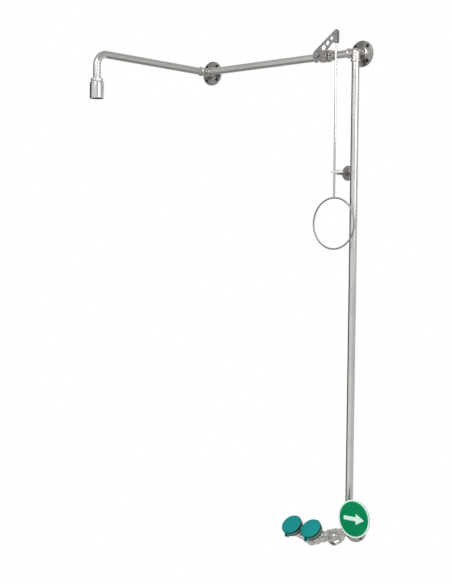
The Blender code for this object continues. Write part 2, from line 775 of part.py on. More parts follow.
def ribbon(name, path, half_thickness, low, high, place, material):
    """A flat bar bent along a path in local X and Y, as wide as low to high along local Z."""
    points = [Vector((x, y, 0)) for x, y in path]
    left, right = [], []
    for k, point in enumerate(points):
        before = (point - points[k - 1]).normalized() if k else None
        after = (points[k + 1] - point).normalized() if k + 1 < len(points) else None
        heading = ((before or after) + (after or before)).normalized()
        normal = Vector((-heading.y, heading.x, 0))
        lean = (before or after).cross(Vector((0, 0, 1))).dot(-normal)
        offset = normal * half_thickness / max(lean, 0.5)
        left.append((point + offset).to_2d()[:])
        right.append((point - offset).to_2d()[:])
    return prism(name, right + left[::-1], low, high, place, material)


def rounded(path, radius, steps=5):
    """A path with its inner corners rounded off."""
    points = [Vector(point) for point in path]
    out = [points[0]]
    for before, corner, after in zip(points, points[1:], points[2:]):
        near, far = before - corner, after - corner
        room = min(radius, near.length * 0.45, far.length * 0.45)
        start, end = corner + near.normalized() * room, corner + far.normalized() * room
        for k in range(steps + 1):
            t = k / steps
            out.append(start * (1 - t) ** 2 + corner * 2 * t * (1 - t) + end * t * t)
    return [point[:] for point in out + [points[-1]]]


def push_lever(material):
    """The stirrup: a strap that passes under the valve from its pivot screw to its stem, then rises
    to the tab behind the push plate."""
    stem = Vector((0, EYE_VALVE_Y, -HEIGHT))
    towards_room = Vector((0, -1, 0))
    lean = Matrix.Rotation(STRAP_LEAN, 3, "X")
    leaned = frame_of(Vector((1, 0, 0)), lean @ Vector((0, 0, 1)), lean @ towards_room, stem)
    right = LEVER_OFFSET
    shoulder = -STRAP_SHOULDER
    path = [(STRAP_LEFT, -0.0055), (STRAP_LEFT, shoulder), (STRAP_LOW_X, -STRAP_DEPTH)]
    path += [(right, shoulder), (right, -0.006)]
    path = rounded(path, STRAP_BEND_R)
    lever = ribbon("push_lever", path, LEVER_T / 2, -STRAP_HALF, STRAP_HALF, leaned, material)

    upright = frame_of(Vector((1, 0, 0)), Vector((0, 0, 1)), towards_room, stem)
    bar = [(right, 0.0065), (right, 0.016), (PLATE_X - 0.0075, PLATE_Z - 0.0085)]
    near, far = -0.0095, -PLATE_BACK_Y + EYE_VALVE_Y - GAP
    boolean(lever, ribbon("bar", bar, LEVER_T / 2, near, far, upright, material), "UNION")
    half = LEVER_T / 2 + 0.0001
    boolean(lever, rod("eye", stem, (1, 0, 0), 0.0105, right - half, right + half, material, 20), "UNION")
    left_eye = rod("eye", stem, (-1, 0, 0), 0.0085, -STRAP_LEFT - half, -STRAP_LEFT + half, material, 20)
    boolean(lever, left_eye, "UNION")
    tab_centre = stem + Vector((PLATE_X, 0, PLATE_Z))
    tab = rod("tab", tab_centre, towards_room, TAB_R, far - LEVER_T, far, material, 20)
    boolean(lever, tab, "UNION")
    boolean(lever, rod("stem_bore", stem, (1, 0, 0), STEM_R + GAP, 0.03, 0.04, material, SMALL_SIDES))
    boolean(lever, rod("screw_bore", stem, (-1, 0, 0), PIVOT_SCREW_R + GAP, 0.024, 0.034, material, 12))
    boolean(lever, rod("rivet_bore", tab_centre, towards_room, 0.0028, -0.01, 0.02, material, 12))
    return lever


def push_plate(face_material, rivet_material):
    centre = Vector((PLATE_X, PLATE_BACK_Y, PLATE_Z - HEIGHT))
    edge = 0.0008
    profile = [
        (0, 0),
        (PLATE_R, 0),
        (PLATE_R, PLATE_T - edge),
        (PLATE_R - edge, PLATE_T),
        (0, PLATE_T),
    ]
    plate = turned("push_plate", profile, aimed(centre, (0, -1, 0)), face_material, sides=48)
    boolean(plate, rod("rivet_bore", centre, (0, -1, 0), 0.0028, -0.01, 0.01, face_material, 12))
    head = PLATE_T + 0.0002
    shank_r = 0.0025
    tail = -LEVER_T - GAP * 2
    rivet_profile = [(0, tail - 0.0015), (0.0045, tail - 0.0015), (0.0045, tail), (shank_r, tail)]
    rivet_profile += [(shank_r, head), (0.0045, head), (0.0038, head + 0.0008), (0, head + 0.0012)]
    rivet = turned("plate_rivet", rivet_profile, aimed(centre, (0, -1, 0)), rivet_material, sides=14)
    return [plate, rivet]


def pivot_screw(material):
    """The shoulder screw that the stirrup's left eye turns on."""
    profile = [
        (0, 0.0165),
        (PIVOT_SCREW_R, 0.0165),
        (PIVOT_SCREW_R, 0.0312),
        (0.0070, 0.0312),
        (0.0070, 0.0345),
        (0.0060, 0.0355),
        (0, 0.0355),
    ]
    place = aimed((0, EYE_VALVE_Y, -HEIGHT), (-1, 0, 0))
    return turned("push_lever_pivot_screw", profile, place, material, sides=12)


def straight_pipes(steel):
    """Every straight length of pipe, each running from socket to socket."""
    inner = PIPE_R - PIPE_WALL
    into_socket = PORT_LENGTH - SOCKET_DEPTH + GAP
    valve_in = VALVE_SOCKET_END + GAP
    along_wall = (0, -WALL_OFFSET, 0)
    low = (0, -WALL_OFFSET, -HEIGHT)
    left = (-1, 0, 0)
    valve_x = -SHOWER_VALVE_X
    tube("riser_pipe", along_wall, (0, 0, -1), PIPE_R, inner, into_socket, HEIGHT - into_socket, steel)
    tube("valve_feed_pipe", along_wall, left, PIPE_R, inner, into_socket, valve_x - valve_in, steel)
    tube("wall_pipe", along_wall, left, PIPE_R, inner, valve_x + valve_in, SPAN - into_socket, steel)
    eye_valve = -EYE_VALVE_Y - WALL_OFFSET
    tee = -TEE_Y - WALL_OFFSET
    tube("eyewash_feed_pipe", low, (0, -1, 0), PIPE_R, inner, into_socket, eye_valve - valve_in, steel)
    tube("tee_feed_pipe", low, (0, -1, 0), PIPE_R, inner, eye_valve + valve_in, tee - into_socket, steel)
    neck_in = FLANGE_T + GAP
    corner_in = WALL_OFFSET - WALL_PORT_LENGTH + WALL_SOCKET_DEPTH
    for name, centre in (
        ("supply_nipple", (0, 0, 0)),
        ("left_support_nipple", (-SPAN, 0, 0)),
        ("lower_support_nipple", (0, 0, -HEIGHT)),
    ):
        start = neck_in if name == "supply_nipple" else neck_in + 0.001
        tube(name, centre, (0, -1, 0), PIPE_R, inner, start, corner_in - GAP, steel)


def main():
    clear_scene()
    steel = make_material("stainless_tube", (0.62, 0.61, 0.58), 0.32, 1.0)
    cast = make_material("cast_stainless", (0.58, 0.56, 0.53), 0.42, 1.0)
    bright = make_material("bright_steel", (0.80, 0.80, 0.79), 0.18, 1.0)
    grey_steel = make_material("grey_lever_steel", (0.36, 0.36, 0.36), 0.50, 0.9)
    teal = make_material("teal_cap_plastic", (0.0, 0.27, 0.26), 0.35, 0.0)
    dark_green = make_material("dark_green_plastic", (0.01, 0.09, 0.07), 0.45, 0.0)
    sign_green = make_material("sign_green", (0.0, 0.26, 0.10), 0.40, 0.0)
    white = make_material("white_nylon", (0.80, 0.80, 0.78), 0.45, 0.0)
    dark = make_material("black_plastic", (0.02, 0.02, 0.02), 0.50, 0.0)

    wall_flange("supply_flange", (0, 0, 0), True, cast)
    wall_flange("left_support_flange", (-SPAN, 0, 0), False, cast)
    wall_flange("lower_support_flange", (0, 0, -HEIGHT), False, cast)
    straight_pipes(steel)

    back, left, down, up = (0, 1, 0), (-1, 0, 0), (0, 0, -1), (0, 0, 1)
    right, front = (1, 0, 0), (0, -1, 0)
    wall_port = (back, WALL_PORT_LENGTH, False)
    corners = {
        "upper_corner_fitting": ((0, -WALL_OFFSET, 0), (left, down)),
        "left_corner_fitting": ((-SPAN, -WALL_OFFSET, 0), (right, front)),
        "lower_corner_fitting": ((0, -WALL_OFFSET, -HEIGHT), (up, front)),
    }
    for name, (centre, open_ways) in corners.items():
        ports = [(way, PORT_LENGTH, True) for way in open_ways]
        fitting(name, centre, [wall_port] + ports, cast)
    manifold(cast)

    shower_place = frame_of((0, -1, 0), (0, 0, -1), (1, 0, 0), (SHOWER_VALVE_X, -WALL_OFFSET, 0))
    shower_turning = ball_valve("shower", shower_place, False, cast, bright, white)
    eyewash_place = frame_of((1, 0, 0), (0, 0, -1), (0, 1, 0), (0, EYE_VALVE_Y, -HEIGHT))
    eyewash_turning = ball_valve("eyewash", eyewash_place, True, cast, bright, white)

    lever = pull_lever(grey_steel)
    pin = fork_pin(bright)
    clip = pin_clip(bright)
    carry(joint_empty("shower_lever_axis", (SHOWER_VALVE_X, PULL_Y, 0)), shower_turning + [lever, pin, clip])
    hanging = [rod_fork(grey_steel), pull_rod(steel), pull_ring(steel)]
    carry(joint_empty("rod_pin_axis", (PIN_X, PULL_Y, PIN_Z)), hanging)
    rod_guide(grey_steel, white)

    shower_arm(steel)
    shower_head(bright, dark)

    stirrup = push_lever(cast)
    pivot_screw(bright)
    plate_pieces = push_plate(sign_green, bright)
    pivot = joint_empty("push_lever_axis", (0, EYE_VALVE_Y, -HEIGHT))
    carry(pivot, eyewash_turning + [stirrup] + plate_pieces)

    for suffix, side in (("left", -1), ("right", 1)):
        nozzle_arm("nozzle_arm_" + suffix, side, cast)
        hinge, downhill = spray_nozzle(suffix, side, dark_green, bright)
        cap_pieces = dust_cap(suffix, side, hinge, downhill, teal, bright)
        carry(joint_empty("cap_hinge_axis_" + suffix, hinge), cap_pieces)


main()
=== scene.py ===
"""The looks of a wall-mounted body shower with eyewash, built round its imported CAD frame.

Every mesh is made in the row frame (metres, wall at y = 0, room at negative y, +Z up), so each
object sits at the origin and its place is in its vertices.
"""

import json
import math

import bmesh
import bpy
from mathutils import Matrix, Vector


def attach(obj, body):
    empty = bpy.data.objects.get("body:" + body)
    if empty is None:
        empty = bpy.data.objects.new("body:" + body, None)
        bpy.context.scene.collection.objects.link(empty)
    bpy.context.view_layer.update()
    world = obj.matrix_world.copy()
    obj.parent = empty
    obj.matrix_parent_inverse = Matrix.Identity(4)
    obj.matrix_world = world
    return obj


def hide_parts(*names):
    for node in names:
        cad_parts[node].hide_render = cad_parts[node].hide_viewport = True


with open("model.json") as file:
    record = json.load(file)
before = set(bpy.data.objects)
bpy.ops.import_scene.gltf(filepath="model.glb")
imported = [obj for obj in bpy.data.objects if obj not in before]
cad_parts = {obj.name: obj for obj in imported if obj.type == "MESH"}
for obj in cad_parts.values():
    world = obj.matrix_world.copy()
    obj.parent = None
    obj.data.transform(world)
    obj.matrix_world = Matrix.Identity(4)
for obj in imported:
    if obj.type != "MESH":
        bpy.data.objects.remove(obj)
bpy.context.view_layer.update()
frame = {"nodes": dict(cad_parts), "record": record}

# The CAD's driving dimensions, repeated
PIPE_R = 0.011
WALL_OFFSET = 0.033
SPAN = 0.575
HEIGHT = 1.340
REACH = 0.481
BEND_R = 0.034
PORT_R = 0.0128
BEAD_R = 0.0143
PORT_LENGTH = 0.026
VALVE_HALF = 0.0345
SHOWER_VALVE_X = -0.108
EYE_VALVE_Y = -0.115
TEE_Y = -0.201
NOZZLE_X = 0.033
LEVER_LENGTH = 0.086
LEVER_ANGLE = math.radians(39.8)
LEVER_OFFSET = 0.035
LEVER_T = 0.003
PULL_Y = -(WALL_OFFSET + LEVER_OFFSET)
PIN_X = SHOWER_VALVE_X + LEVER_LENGTH * math.cos(LEVER_ANGLE)
PIN_Z = LEVER_LENGTH * math.sin(LEVER_ANGLE)
RING_CENTRE_Z = -0.476
RING_R = 0.0715
GUIDE_Z = -0.332
EYE_SWAY = 0.020
HEAD_BOTTOM = -0.1285
HEAD_R = 0.0204
HEAD_HEIGHT = 0.048
TILT = math.radians(45)
CAP_FACE = 0.069
ARM_JOINT = 0.020
ARM_R = 0.0085
CAP_R = 0.0295
CAP_T = 0.0075
HINGE_OFFSET = 0.0335
PLATE_X = 0.0775
PLATE_Z = 0.058
PLATE_R = 0.052
PLATE_BACK_Y = -0.1135
STRAP_DEPTH = 0.0375
STRAP_LOW_X = -0.005
STRAP_SHOULDER = 0.0125
STRAP_BEND_R = 0.009
STRAP_LEFT = -0.029
STRAP_LEAN = math.radians(35)

# Sizes that only the looks need
PIPE_START = 0.0135  # how far from a fitting's centre its pipe begins
PIPE_START_AT_VALVE = 0.0205
WALL_PORT_LENGTH = 0.0145
TEE_RUN_R = 0.0112
TEE_RUN_LENGTH = 0.0190
FLANGE_R = 0.037
FLANGE_T = 0.0068
FLANGE_BORE_R = 0.0090
FLANGE_HOLE_CIRCLE_R = 0.029
FLANGE_HOLE_R = 0.0040
BOSS_R = 0.0092
BOSS_END = 0.0238
NUT_START = 0.0243
LEVER_HUB_R = 0.0160
LEVER_TIP_R = 0.0095
LEVER_HOLES = ((0.0287, 0.0080), (0.0465, 0.0066), (0.0650, 0.0053))
FORK_HALF = 0.0060
FORK_FOOT = -0.0278
FORK_SLOT_HALF = 0.0019
ROD_R = 0.003
RING_WIRE_R = 0.0025
GUIDE_TUBE_END = 0.0530
EYE_HOLE_R = 0.0045
EYE_R = 0.0085
NECK_R = 0.0110
CUP_RIM = CAP_FACE - CAP_T - 0.0003
CUP_R = CAP_R - 0.0015
CUP_FOOT_R = 0.0125
CAP_LOW = CAP_FACE - CAP_T
STRAP_HALF_WIDTH = 0.0045
BAR_BACK = -PLATE_BACK_Y + EYE_VALVE_Y - 0.0003
SIGN_FACE = 0.0022
SIGN_RIM_WIDTH = 0.0042
SIGN_RIM_LOW = 0.0020
SIGN_RIM_HIGH = 0.0028

FIXED = "fixed_plumbing"
LEVER = "shower_lever"
ROD = "pull_rod_and_ring"
PUSH = "push_lever_arm"

ROOM = Vector((0, -1, 0))
WALLWARD = Vector((0, 1, 0))
UP = Vector((0, 0, 1))
RIGHT = Vector((1, 0, 0))
NOZZLE_DIRECTION = Vector((0, -math.sin(TILT), math.cos(TILT)))
DOWNHILL = Vector((0, -math.cos(TILT), -math.sin(TILT)))


# Materials

CLOUD_SCALE = 14.0


def new_material(name):
    made = bpy.data.materials.new(name)
    made.use_nodes = True
    return made, made.node_tree.nodes, made.node_tree.links, made.node_tree.nodes["Principled BSDF"]


def noise(nodes, links, source, scale, detail, stretch=(1, 1, 1)):
    mapping = nodes.new("ShaderNodeMapping")
    mapping.inputs["Scale"].default_value = stretch
    links.new(source, mapping.inputs["Vector"])
    made = nodes.new("ShaderNodeTexNoise")
    made.inputs["Scale"].default_value = scale
    made.inputs["Detail"].default_value = detail
    links.new(mapping.outputs["Vector"], made.inputs["Vector"])
    return made.outputs["Fac"]


def ramp(nodes, links, source, stops):
    made = nodes.new("ShaderNodeValToRGB")
    elements = made.color_ramp.elements
    while len(elements) < len(stops):
        elements.new(0.5)
    for element, (position, colour) in zip(elements, stops):
        element.position = position
        element.color = (*colour, 1.0)
    links.new(source, made.inputs["Fac"])
    return made.outputs["Color"]


def spread(nodes, links, source, low, high):
    """Stretches the middle of a noise, where nearly all of it lies, over low to high."""
    made = nodes.new("ShaderNodeMapRange")
    made.inputs["From Min"].default_value = 0.3
    made.inputs["From Max"].default_value = 0.7
    made.inputs["To Min"].default_value = low
    made.inputs["To Max"].default_value = high
    links.new(source, made.inputs["Value"])
    return made.outputs["Result"]


def surface(
    name, colour, shade, roughness, metallic, grain=(1, 1, 1), grain_scale=900.0, depth=1e-5, gloss=0.5,
):
    """A finish with cloudy tint, uneven polish and a fine grain that can be stretched into brush lines."""
    made, nodes, links, shader = new_material(name)
    where = nodes.new("ShaderNodeTexCoord").outputs["Object"]
    cloud = noise(nodes, links, where, CLOUD_SCALE, 5.0)
    fine = noise(nodes, links, where, grain_scale, 2.0, grain)
    links.new(ramp(nodes, links, cloud, ((0.35, shade), (0.65, colour))), shader.inputs["Base Color"])
    half_cloud = nodes.new("ShaderNodeMath")
    half_cloud.operation = "MULTIPLY"
    half_cloud.inputs[1].default_value = 0.5
    links.new(cloud, half_cloud.inputs[0])
    both = nodes.new("ShaderNodeMath")
    both.operation = "MULTIPLY_ADD"
    both.inputs[1].default_value = 0.5
    links.new(fine, both.inputs[0])
    links.new(half_cloud.outputs[0], both.inputs[2])
    links.new(spread(nodes, links, both.outputs[0], *roughness), shader.inputs["Roughness"])
    bump = nodes.new("ShaderNodeBump")
    bump.inputs["Strength"].default_value = 0.5
    bump.inputs["Distance"].default_value = depth
    links.new(fine, bump.inputs["Height"])
    links.new(bump.outputs["Normal"], shader.inputs["Normal"])
    shader.inputs["Metallic"].default_value = metallic
    shader.inputs["Specular IOR Level"].default_value = gloss
    return made


STEEL = (0.60, 0.59, 0.57)
STEEL_SHADE = (0.54, 0.53, 0.51)
POLISH = (0.21, 0.26)
FINE = 6e-7
tube_x = surface("satin_tube_x", STEEL, STEEL_SHADE, POLISH, 1.0, (1, 0.05, 0.05), depth=FINE)
tube_y = surface("satin_tube_y", STEEL, STEEL_SHADE, POLISH, 1.0, (0.05, 1, 0.05), depth=FINE)
tube_z = surface("satin_tube_z", STEEL, STEEL_SHADE, POLISH, 1.0, (0.05, 0.05, 1), depth=FINE)
rod_steel = surface(
    "rod_steel", (0.38, 0.37, 0.36), (0.33, 0.32, 0.31), (0.38, 0.46), 1.0, (0.05, 0.05, 1), depth=FINE,
)
cast = surface(
    "cast_steel", (0.60, 0.58, 0.56), (0.50, 0.48, 0.46), (0.24, 0.32), 1.0, grain_scale=700.0, depth=2e-6,
)
flange_steel = surface("flange_steel", (0.35, 0.34, 0.33), (0.28, 0.27, 0.26), (0.24, 0.32), 1.0, depth=1e-6)
bright = surface("polished_steel", (0.62, 0.61, 0.60), (0.56, 0.55, 0.54), (0.12, 0.18), 1.0, depth=FINE)
lever_grey = surface(
    "lever_steel", (0.33, 0.32, 0.31), (0.28, 0.27, 0.265), (0.40, 0.50), 0.9, (1, 0.1, 1), depth=3e-6,
)
teal = surface("teal_plastic", (0.000, 0.262, 0.250), (0.000, 0.225, 0.214), (0.30, 0.38), 0.0, gloss=0.2)
# A darker copy of the cap's teal: painted shade for the caps' rims
teal_painted_shade = surface(
    "teal_rim_painted_shade", (0.001, 0.050, 0.056), (0.001, 0.040, 0.045), (0.34, 0.46), 0.0, gloss=0.3,
)
head_green = surface(
    "head_green_plastic", (0.006, 0.040, 0.028), (0.005, 0.032, 0.022), (0.35, 0.46), 0.0, gloss=0.3,
)
sign_green = surface(
    "sign_green_paint", (0.000, 0.245, 0.090), (0.000, 0.225, 0.082), (0.30, 0.42), 0.0, gloss=0.1,
)
sign_pale = surface("sign_pale_paint", (0.70, 0.92, 0.83), (0.66, 0.89, 0.79), (0.32, 0.44), 0.0)
nylon = surface("white_nylon", (0.74, 0.74, 0.71), (0.68, 0.68, 0.65), (0.38, 0.50), 0.0)
black = surface("black_plastic", (0.008, 0.008, 0.009), (0.012, 0.012, 0.013), (0.38, 0.52), 0.0, gloss=0.2)

SLOT_FINISH = {
    "stainless_tube": tube_z,
    "cast_stainless": cast,
    "bright_steel": bright,
    "grey_lever_steel": lever_grey,
    "teal_cap_plastic": teal,
    "dark_green_plastic": head_green,
    "sign_green": sign_green,
    "white_nylon": nylon,
    "black_plastic": black,
}
NODE_SLOT = {part["node"]: part["material_slot"] for part in frame["record"]["subparts"]}
for node_name, node in frame["nodes"].items():
    finish_material = SLOT_FINISH[NODE_SLOT[node_name]]
    if not node.data.materials:
        node.data.materials.append(finish_material)
    for socket in node.material_slots:
        socket.material = finish_material


# Mesh making


def aimed(origin, direction, twist=0.0):
    turn = Vector(direction).to_track_quat("Z", "Y").to_matrix().to_4x4()
    return Matrix.Translation(Vector(origin)) @ turn @ Matrix.Rotation(twist, 4, "Z")


def axes(x_axis, y_axis, z_axis, origin):
    turn = Matrix((x_axis, y_axis, z_axis)).transposed().to_4x4()
    return Matrix.Translation(Vector(origin)) @ turn


def arc(centre, radius, first, last, steps):
    angles = [first + (last - first) * k / steps for k in range(steps + 1)]
    return [(centre[0] + radius * math.cos(a), centre[1] + radius * math.sin(a)) for a in angles]


def fillet(profile, radius, steps=3, closed=False):
    """A profile with each of its corners rounded."""
    points = [Vector(point) for point in profile]
    count = len(points)
    out = []
    for k, point in enumerate(points):
        if not closed and k in (0, count - 1):
            out.append(tuple(point))
            continue
        before, after = points[k - 1] - point, points[(k + 1) % count] - point
        room = min(radius, before.length * 0.45, after.length * 0.45)
        if room < 1e-6 or abs(before.normalized().cross(after.normalized())) < 0.05:
            out.append(tuple(point))
            continue
        start, end = point + before.normalized() * room, point + after.normalized() * room
        for step in range(steps + 1):
            t = step / steps
            out.append(tuple(start * (1 - t) ** 2 + point * 2 * t * (1 - t) + end * t * t))
    return out


def bulge(radius, half_height, steps=24):
    """The profile of a ball, or of an egg where the two sizes differ."""
    angles = [math.pi * k / steps for k in range(1, steps)]
    round_part = [(radius * math.sin(a), -half_height * math.cos(a)) for a in angles]
    return [(0, -half_height), *round_part, (0, half_height)]


def add_lathe(work, profile, place, steps=64, closed=False, wobble=None):
    """A profile of (radius, height) turned about the place's z axis; wobble makes flutes and grips."""
    rings = []
    for index, (radius, height) in enumerate(profile):
        if radius < 1e-7:
            rings.append([work.verts.new(place @ Vector((0, 0, height)))] * steps)
            continue
        ring = []
        for i in range(steps):
            angle = 2 * math.pi * i / steps
            r = radius + (wobble(index, angle) if wobble else 0.0)
            ring.append(work.verts.new(place @ Vector((r * math.cos(angle), r * math.sin(angle), height))))
        rings.append(ring)
    pairs = list(zip(rings, rings[1:]))
    if closed:
        pairs.append((rings[-1], rings[0]))
    for low, high in pairs:
        for i in range(steps):
            j = (i + 1) % steps
            corners = list(dict.fromkeys([low[i], low[j], high[j], high[i]]))
            if len(corners) > 2:
                work.faces.new(corners)


def add_rod(work, origin, direction, radius, start, end, steps=48, edge=0.0003):
    profile = fillet([(0, start), (radius, start), (radius, end), (0, end)], edge, 2)
    add_lathe(work, profile, aimed(origin, direction), steps)


def add_tube(work, origin, direction, radius, start, end, steps=64, wall=0.0015):
    profile = [(radius - wall, start), (radius, start), (radius, end), (radius - wall, end)]
    add_lathe(work, profile, aimed(origin, direction), steps, closed=True)


def add_prism(work, outline, low, high, place):
    """An outline in the place's x and y, raised from low to high."""
    bottom = [work.verts.new(place @ Vector((x, y, low))) for x, y in outline]
    top = [work.verts.new(place @ Vector((x, y, high))) for x, y in outline]
    work.faces.new(bottom[::-1])
    work.faces.new(top)
    for i in range(len(outline)):
        j = (i + 1) % len(outline)
        work.faces.new((bottom[i], bottom[j], top[j], top[i]))


def add_band(work, outer, inner, low, high, place):
    """A flat band between two outlines with the same number of points."""
    loops = []
    for outline, height in ((outer, low), (outer, high), (inner, high), (inner, low)):
        loops.append([work.verts.new(place @ Vector((x, y, height))) for x, y in outline])
    for a, b in zip(loops, loops[1:] + loops[:1]):
        for i in range(len(outer)):
            j = (i + 1) % len(outer)
            work.faces.new((a[i], a[j], b[j], b[i]))


def add_hex(work, centre, direction, radius, start, end, twist=0.0):
    """A hexagon with its corners turned down, as on a nut."""
    place = aimed(centre, direction, twist)
    flat = radius * math.cos(math.pi / 6)
    turned_down = 0.0012
    levels = ((start, flat), (start + turned_down, radius), (end - turned_down, radius), (end, flat))
    steps = 48
    rings = []
    for height, limit in levels:
        ring = []
        for i in range(steps):
            angle = 2 * math.pi * i / steps
            from_flat = (angle + math.pi / 6) % (math.pi / 3) - math.pi / 6
            r = min(flat / math.cos(from_flat), limit)
            ring.append(work.verts.new(place @ Vector((r * math.cos(angle), r * math.sin(angle), height))))
        rings.append(ring)
    for low, high in zip(rings, rings[1:]):
        for i in range(steps):
            j = (i + 1) % steps
            work.faces.new((low[i], low[j], high[j], high[i]))
    work.faces.new(rings[0][::-1])
    work.faces.new(rings[-1])


def finish_piece(name, work, material, body, nodes=(), bevel=0.0, sharp=35):
    """The gathered mesh becomes one piece that rides on a body and stands for its CAD nodes."""
    bmesh.ops.recalc_face_normals(work, faces=work.faces)
    mesh = bpy.data.meshes.new(name)
    work.to_mesh(mesh)
    work.free()
    mesh.shade_smooth()
    mesh.set_sharp_from_angle(angle=math.radians(sharp))
    mesh.materials.append(material)
    made = bpy.data.objects.new(name, mesh)
    bpy.context.scene.collection.objects.link(made)
    if bevel:
        step = made.modifiers.new("edge", "BEVEL")
        step.width = bevel
        step.segments = 2
        step.limit_method = "ANGLE"
        step.angle_limit = math.radians(40)
    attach(made, body)
    if nodes:
        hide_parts(*nodes)


def bake(made):
    """Applies every modifier of an object."""
    bpy.context.view_layer.update()
    graph = bpy.context.evaluated_depsgraph_get()
    mesh = bpy.data.meshes.new_from_object(made.evaluated_get(graph))
    made.modifiers.clear()
    made.data = mesh


VOXEL = 0.0005
SMOOTHING_ROUNDS = 12


def fuse(work):
    """Overlapping solids melt into one casting with small fillets where they meet."""
    bmesh.ops.recalc_face_normals(work, faces=work.faces)
    mesh = bpy.data.meshes.new("fuse")
    work.to_mesh(mesh)
    work.free()
    made = bpy.data.objects.new("fuse", mesh)
    bpy.context.scene.collection.objects.link(made)
    step = made.modifiers.new("voxels", "REMESH")
    step.mode = "VOXEL"
    step.voxel_size = VOXEL
    step = made.modifiers.new("soften", "SMOOTH")
    step.factor = 0.5
    step.iterations = SMOOTHING_ROUNDS
    bake(made)
    result = bmesh.new()
    result.from_mesh(made.data)
    bpy.data.objects.remove(made, do_unlink=True)
    return result


def cut(work, tool):
    """Takes one gathered mesh away from another."""
    objects = []
    for gathered in (work, tool):
        bmesh.ops.recalc_face_normals(gathered, faces=gathered.faces)
        mesh = bpy.data.meshes.new("cut")
        gathered.to_mesh(mesh)
        gathered.free()
        made = bpy.data.objects.new("cut", mesh)
        bpy.context.scene.collection.objects.link(made)
        objects.append(made)
    target, cutter = objects
    step = target.modifiers.new("cut", "BOOLEAN")
    step.operation = "DIFFERENCE"
    step.object = cutter
    bake(target)
    result = bmesh.new()
    result.from_mesh(target.data)
    bmesh.ops.dissolve_limit(result, angle_limit=math.radians(0.5), verts=result.verts, edges=result.edges)
    for made in objects:
        bpy.data.objects.remove(made, do_unlink=True)
    return result


# Pipes


def pipe(name, origin, direction, start, end, material):
    work = bmesh.new()
    add_tube(work, origin, direction, PIPE_R, start, end, 72)
    finish_piece(name + "_skin", work, material, FIXED, [name])


CORNER = Vector((0, -WALL_OFFSET, 0))
LEFT_CORNER = Vector((-SPAN, -WALL_OFFSET, 0))
LOW_CORNER = Vector((0, -WALL_OFFSET, -HEIGHT))
SHOWER_VALVE = Vector((SHOWER_VALVE_X, -WALL_OFFSET, 0))
EYE_VALVE = Vector((0, EYE_VALVE_Y, -HEIGHT))
TEE = Vector((0, TEE_Y, -HEIGHT))

to_shower_valve = -SHOWER_VALVE_X
to_eye_valve = -EYE_VALVE_Y - WALL_OFFSET
to_tee = -TEE_Y - WALL_OFFSET
pipe("riser_pipe", CORNER, -UP, PIPE_START, HEIGHT - PIPE_START, tube_z)
pipe("valve_feed_pipe", CORNER, -RIGHT, PIPE_START, to_shower_valve - PIPE_START_AT_VALVE, tube_x)
pipe("wall_pipe", CORNER, -RIGHT, to_shower_valve + PIPE_START_AT_VALVE, SPAN - PIPE_START, tube_x)
pipe("eyewash_feed_pipe", LOW_CORNER, ROOM, PIPE_START, to_eye_valve - PIPE_START_AT_VALVE, tube_y)
pipe("tee_feed_pipe", LOW_CORNER, ROOM, to_eye_valve + PIPE_START_AT_VALVE, to_tee - PIPE_START, tube_y)


def swept_arm():
    """The shower arm: out from the wall, a quarter bend, then down into the head."""
    stations = [((-(WALL_OFFSET + PIPE_START), 0.0), 0.0)]
    bend_y = -(REACH - BEND_R)
    end_z = HEAD_BOTTOM + 0.043
    steps = 28
    for k in range(steps + 1):
        angle = math.pi / 2 * k / steps
        where = (bend_y - BEND_R * math.sin(angle), -BEND_R * (1 - math.cos(angle)))
        stations.append((where, angle))
    stations.append(((-REACH, end_z), math.pi / 2))
    work = bmesh.new()
    sides = 72
    loops = []
    for (y, z), angle in stations:
        outward = Vector((0, -math.sin(angle), math.cos(angle)))
        centre = Vector((-SPAN, y, z))
        loop = []
        for i in range(sides):
            a = 2 * math.pi * i / sides
            loop.append(work.verts.new(centre + (RIGHT * math.cos(a) + outward * math.sin(a)) * PIPE_R))
        loops.append(loop)
    for low, high in zip(loops, loops[1:]):
        for i in range(sides):
            j = (i + 1) % sides
            work.faces.new((low[i], low[j], high[j], high[i]))
    work.faces.new(loops[0][::-1])
    work.faces.new(loops[-1])
    finish_piece("shower_arm_skin", work, tube_y, FIXED, ["shower_arm"])


swept_arm()


# Fittings


def port_profile(length, bead):
    """A fitting's port, plain or with a bead round its mouth."""
    if not bead:
        return [(0, 0), (PORT_R, 0), (PORT_R, length), (0, length)]
    neck = length - 0.0062
    return [(0, 0), (PORT_R, 0), (PORT_R, neck), (BEAD_R, neck + 0.0006), (BEAD_R, length), (0, length)]


def casting(name, centre, ports, runs=()):
    """Ports and plain runs leave a ball, and all of it is one casting."""
    work = bmesh.new()
    ball_r = PORT_R * 1.04
    add_lathe(work, bulge(ball_r, ball_r), aimed(centre, UP), 48)
    for direction, length, bead in ports:
        add_lathe(work, fillet(port_profile(length, bead), 0.0008, 2), aimed(centre, direction), 64)
    for direction in runs:
        add_rod(work, centre, direction, TEE_RUN_R, 0, TEE_RUN_LENGTH, 64, 0.0008)
    finish_piece(name + "_casting", fuse(work), cast, FIXED, [name], sharp=180)


def arm_joint(side):
    return Vector((side * NOZZLE_X, TEE_Y, -HEIGHT)) + NOZZLE_DIRECTION * ARM_JOINT


for corner_name, corner, first, second in (
    ("upper_corner_fitting", CORNER, -RIGHT, -UP),
    ("left_corner_fitting", LEFT_CORNER, RIGHT, ROOM),
    ("lower_corner_fitting", LOW_CORNER, UP, ROOM),
):
    wall_port = (WALLWARD, WALL_PORT_LENGTH, False)
    casting(corner_name, corner, [wall_port, (first, PORT_LENGTH, True), (second, PORT_LENGTH, True)])
casting("eyewash_tee", TEE, [(WALLWARD, PORT_LENGTH, True)], [arm_joint(side) - TEE for side in (-1, 1)])


